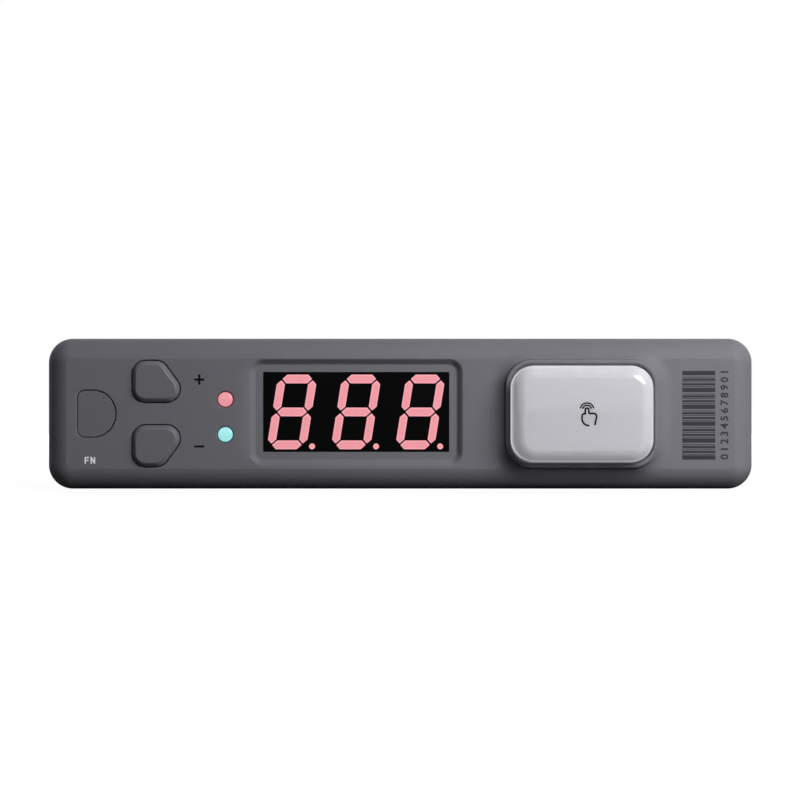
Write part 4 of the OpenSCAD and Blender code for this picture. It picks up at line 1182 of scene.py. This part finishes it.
def make_world():
    """Pale studio: white behind everything that is seen or reflected, and a soft even light on matt surfaces."""
    world = bpy.data.worlds.new("studio")
    bpy.context.scene.world = world
    tree = empty_tree(world)
    path = add_node(tree, "LightPath")
    seen = path.outputs["Is Camera Ray"]
    for ray in ("Is Transmission Ray", "Is Glossy Ray"):
        seen = add_node(tree, "Math", {0: seen, 1: path.outputs[ray]}, operation="MAXIMUM")
    strength = add_node(tree, "MapRange", {"Value": seen, "To Min": 0.06, "To Max": 1.0})
    ground = add_node(tree, "Background", {"Color": (1, 1, 1, 1), "Strength": strength})
    add_node(tree, "OutputWorld", {"Surface": ground})


def make_floor():
    """Pale floor under the body: a matt surface whose own faint glow, seen by the camera, brings it to white.

    Seen from below it is clear.
    """
    ring = ring_circle(2 * FLOOR_R, (0, 0), 64)
    points = np.insert(ring, 2, -HALF_H - FLOOR_GAP, axis=1)
    floor = mesh_object("floor", (points, [list(range(len(ring)))]))
    material, tree, place = new_material("white studio floor")
    away = add_node(tree, "VectorMath", {0: place}, operation="LENGTH")
    path = add_node(tree, "LightPath")
    far = add_node(tree, "MapRange", {
        "Value": away.outputs["Value"], "From Min": 0.1, "From Max": 0.6, "To Min": 0.93, "To Max": 1.0,
    })
    glow = add_node(tree, "Math", {0: far, 1: path.outputs["Is Camera Ray"]}, operation="MULTIPLY")
    light = add_node(tree, "Emission", {"Color": (1, 1, 1, 1), "Strength": glow})
    matt = add_node(tree, "BsdfDiffuse", {"Color": linear("#5c5c5c")})
    both = add_node(tree, "AddShader", {0: light, 1: matt})
    below = add_node(tree, "NewGeometry").outputs["Backfacing"]
    clear = add_node(tree, "BsdfTransparent")
    upper = add_node(tree, "MixShader", {0: below, 1: both, 2: clear})
    add_node(tree, "OutputMaterial", {"Surface": upper})
    floor.data.materials.append(material)


# The whole display

make_camera()
make_world()
make_lights()
make_floor()

finishes = {
    "shell_plastic": moulded_plastic("spark-textured grey ABS", "#6c6b71", 0.3, 0.55, sheen=0.12),
    "key_plastic": moulded_plastic("fine-textured grey ABS", "#6a696f", 0.25, 0.33, sheen=0.15),
    "cap_plastic": polished_acrylic(),
    "carrier_plastic": moulded_plastic("natural white nylon", "#d6d6d4", 0.2, 0.45),
    "readout_black": smoked_resin(),
    "bar_light": lit_diffuser("lit pink diffuser", "#ee98a1", "#fdabb5", "#7a4c52", "rim"),
    "red_lens": lit_diffuser("lit red lens", "#ef99a4", "#f06c7a", "#7a4c52", None, 0.12),
    "cyan_lens": lit_diffuser("lit cyan lens", "#a9eff0", "#6fd9e0", "#4a7274", None, 0.12),
    "board_laminate": solder_mask(),
    "black_plastic": moulded_plastic("moulded black epoxy", "#1a1a1c", 0.12, 0.5),
    "red_plastic": moulded_plastic("red nylon", "#9a2b26", 0.2, 0.4),
    "lamp_white": moulded_plastic("white lamp resin", "#e8e8dc", 0.15, 0.3),
    "ferrite": moulded_plastic("pressed ferrite", "#36363a", 0.1, 0.6),
    "steel": plated_metal("zinc-plated steel", "#c4c6c9", 0.32, 0.15),
    "bare_aluminium": plated_metal("drawn aluminium", "#d5d7d9", 0.35, 0.2),
    "gold_plate": plated_metal("hard gold plate", "#e2bd6a", 0.22, 0.12),
}
black_ink = pad_ink("black pad ink", "#050505")
dark_ink = pad_ink("laser-marked grey", "#38373c")
for subpart in frame["record"]["subparts"]:
    thing = frame["nodes"][subpart["node"]]
    if not thing.material_slots:
        thing.data.materials.append(None)
    for place in thing.material_slots:
        place.material = finishes[subpart["material_slot"]]

make_front_shell()
make_rear_shell()
make_collar()
make_cap()
make_keys()
make_lens("red_signal_lens", "red_lens")
make_lens("cyan_signal_lens", "cyan_lens")
make_readout()
make_key_signs(black_ink, pad_ink("white pad ink", "#fafafa"))
make_tap_sign(black_ink)
make_bar_pattern(dark_ink)
make_number_row(dark_ink)
make_case_screws()
for i in range(1, 5):
    make_contact(i)
make_springs()

bpy.context.scene.view_settings.view_transform = "Standard"
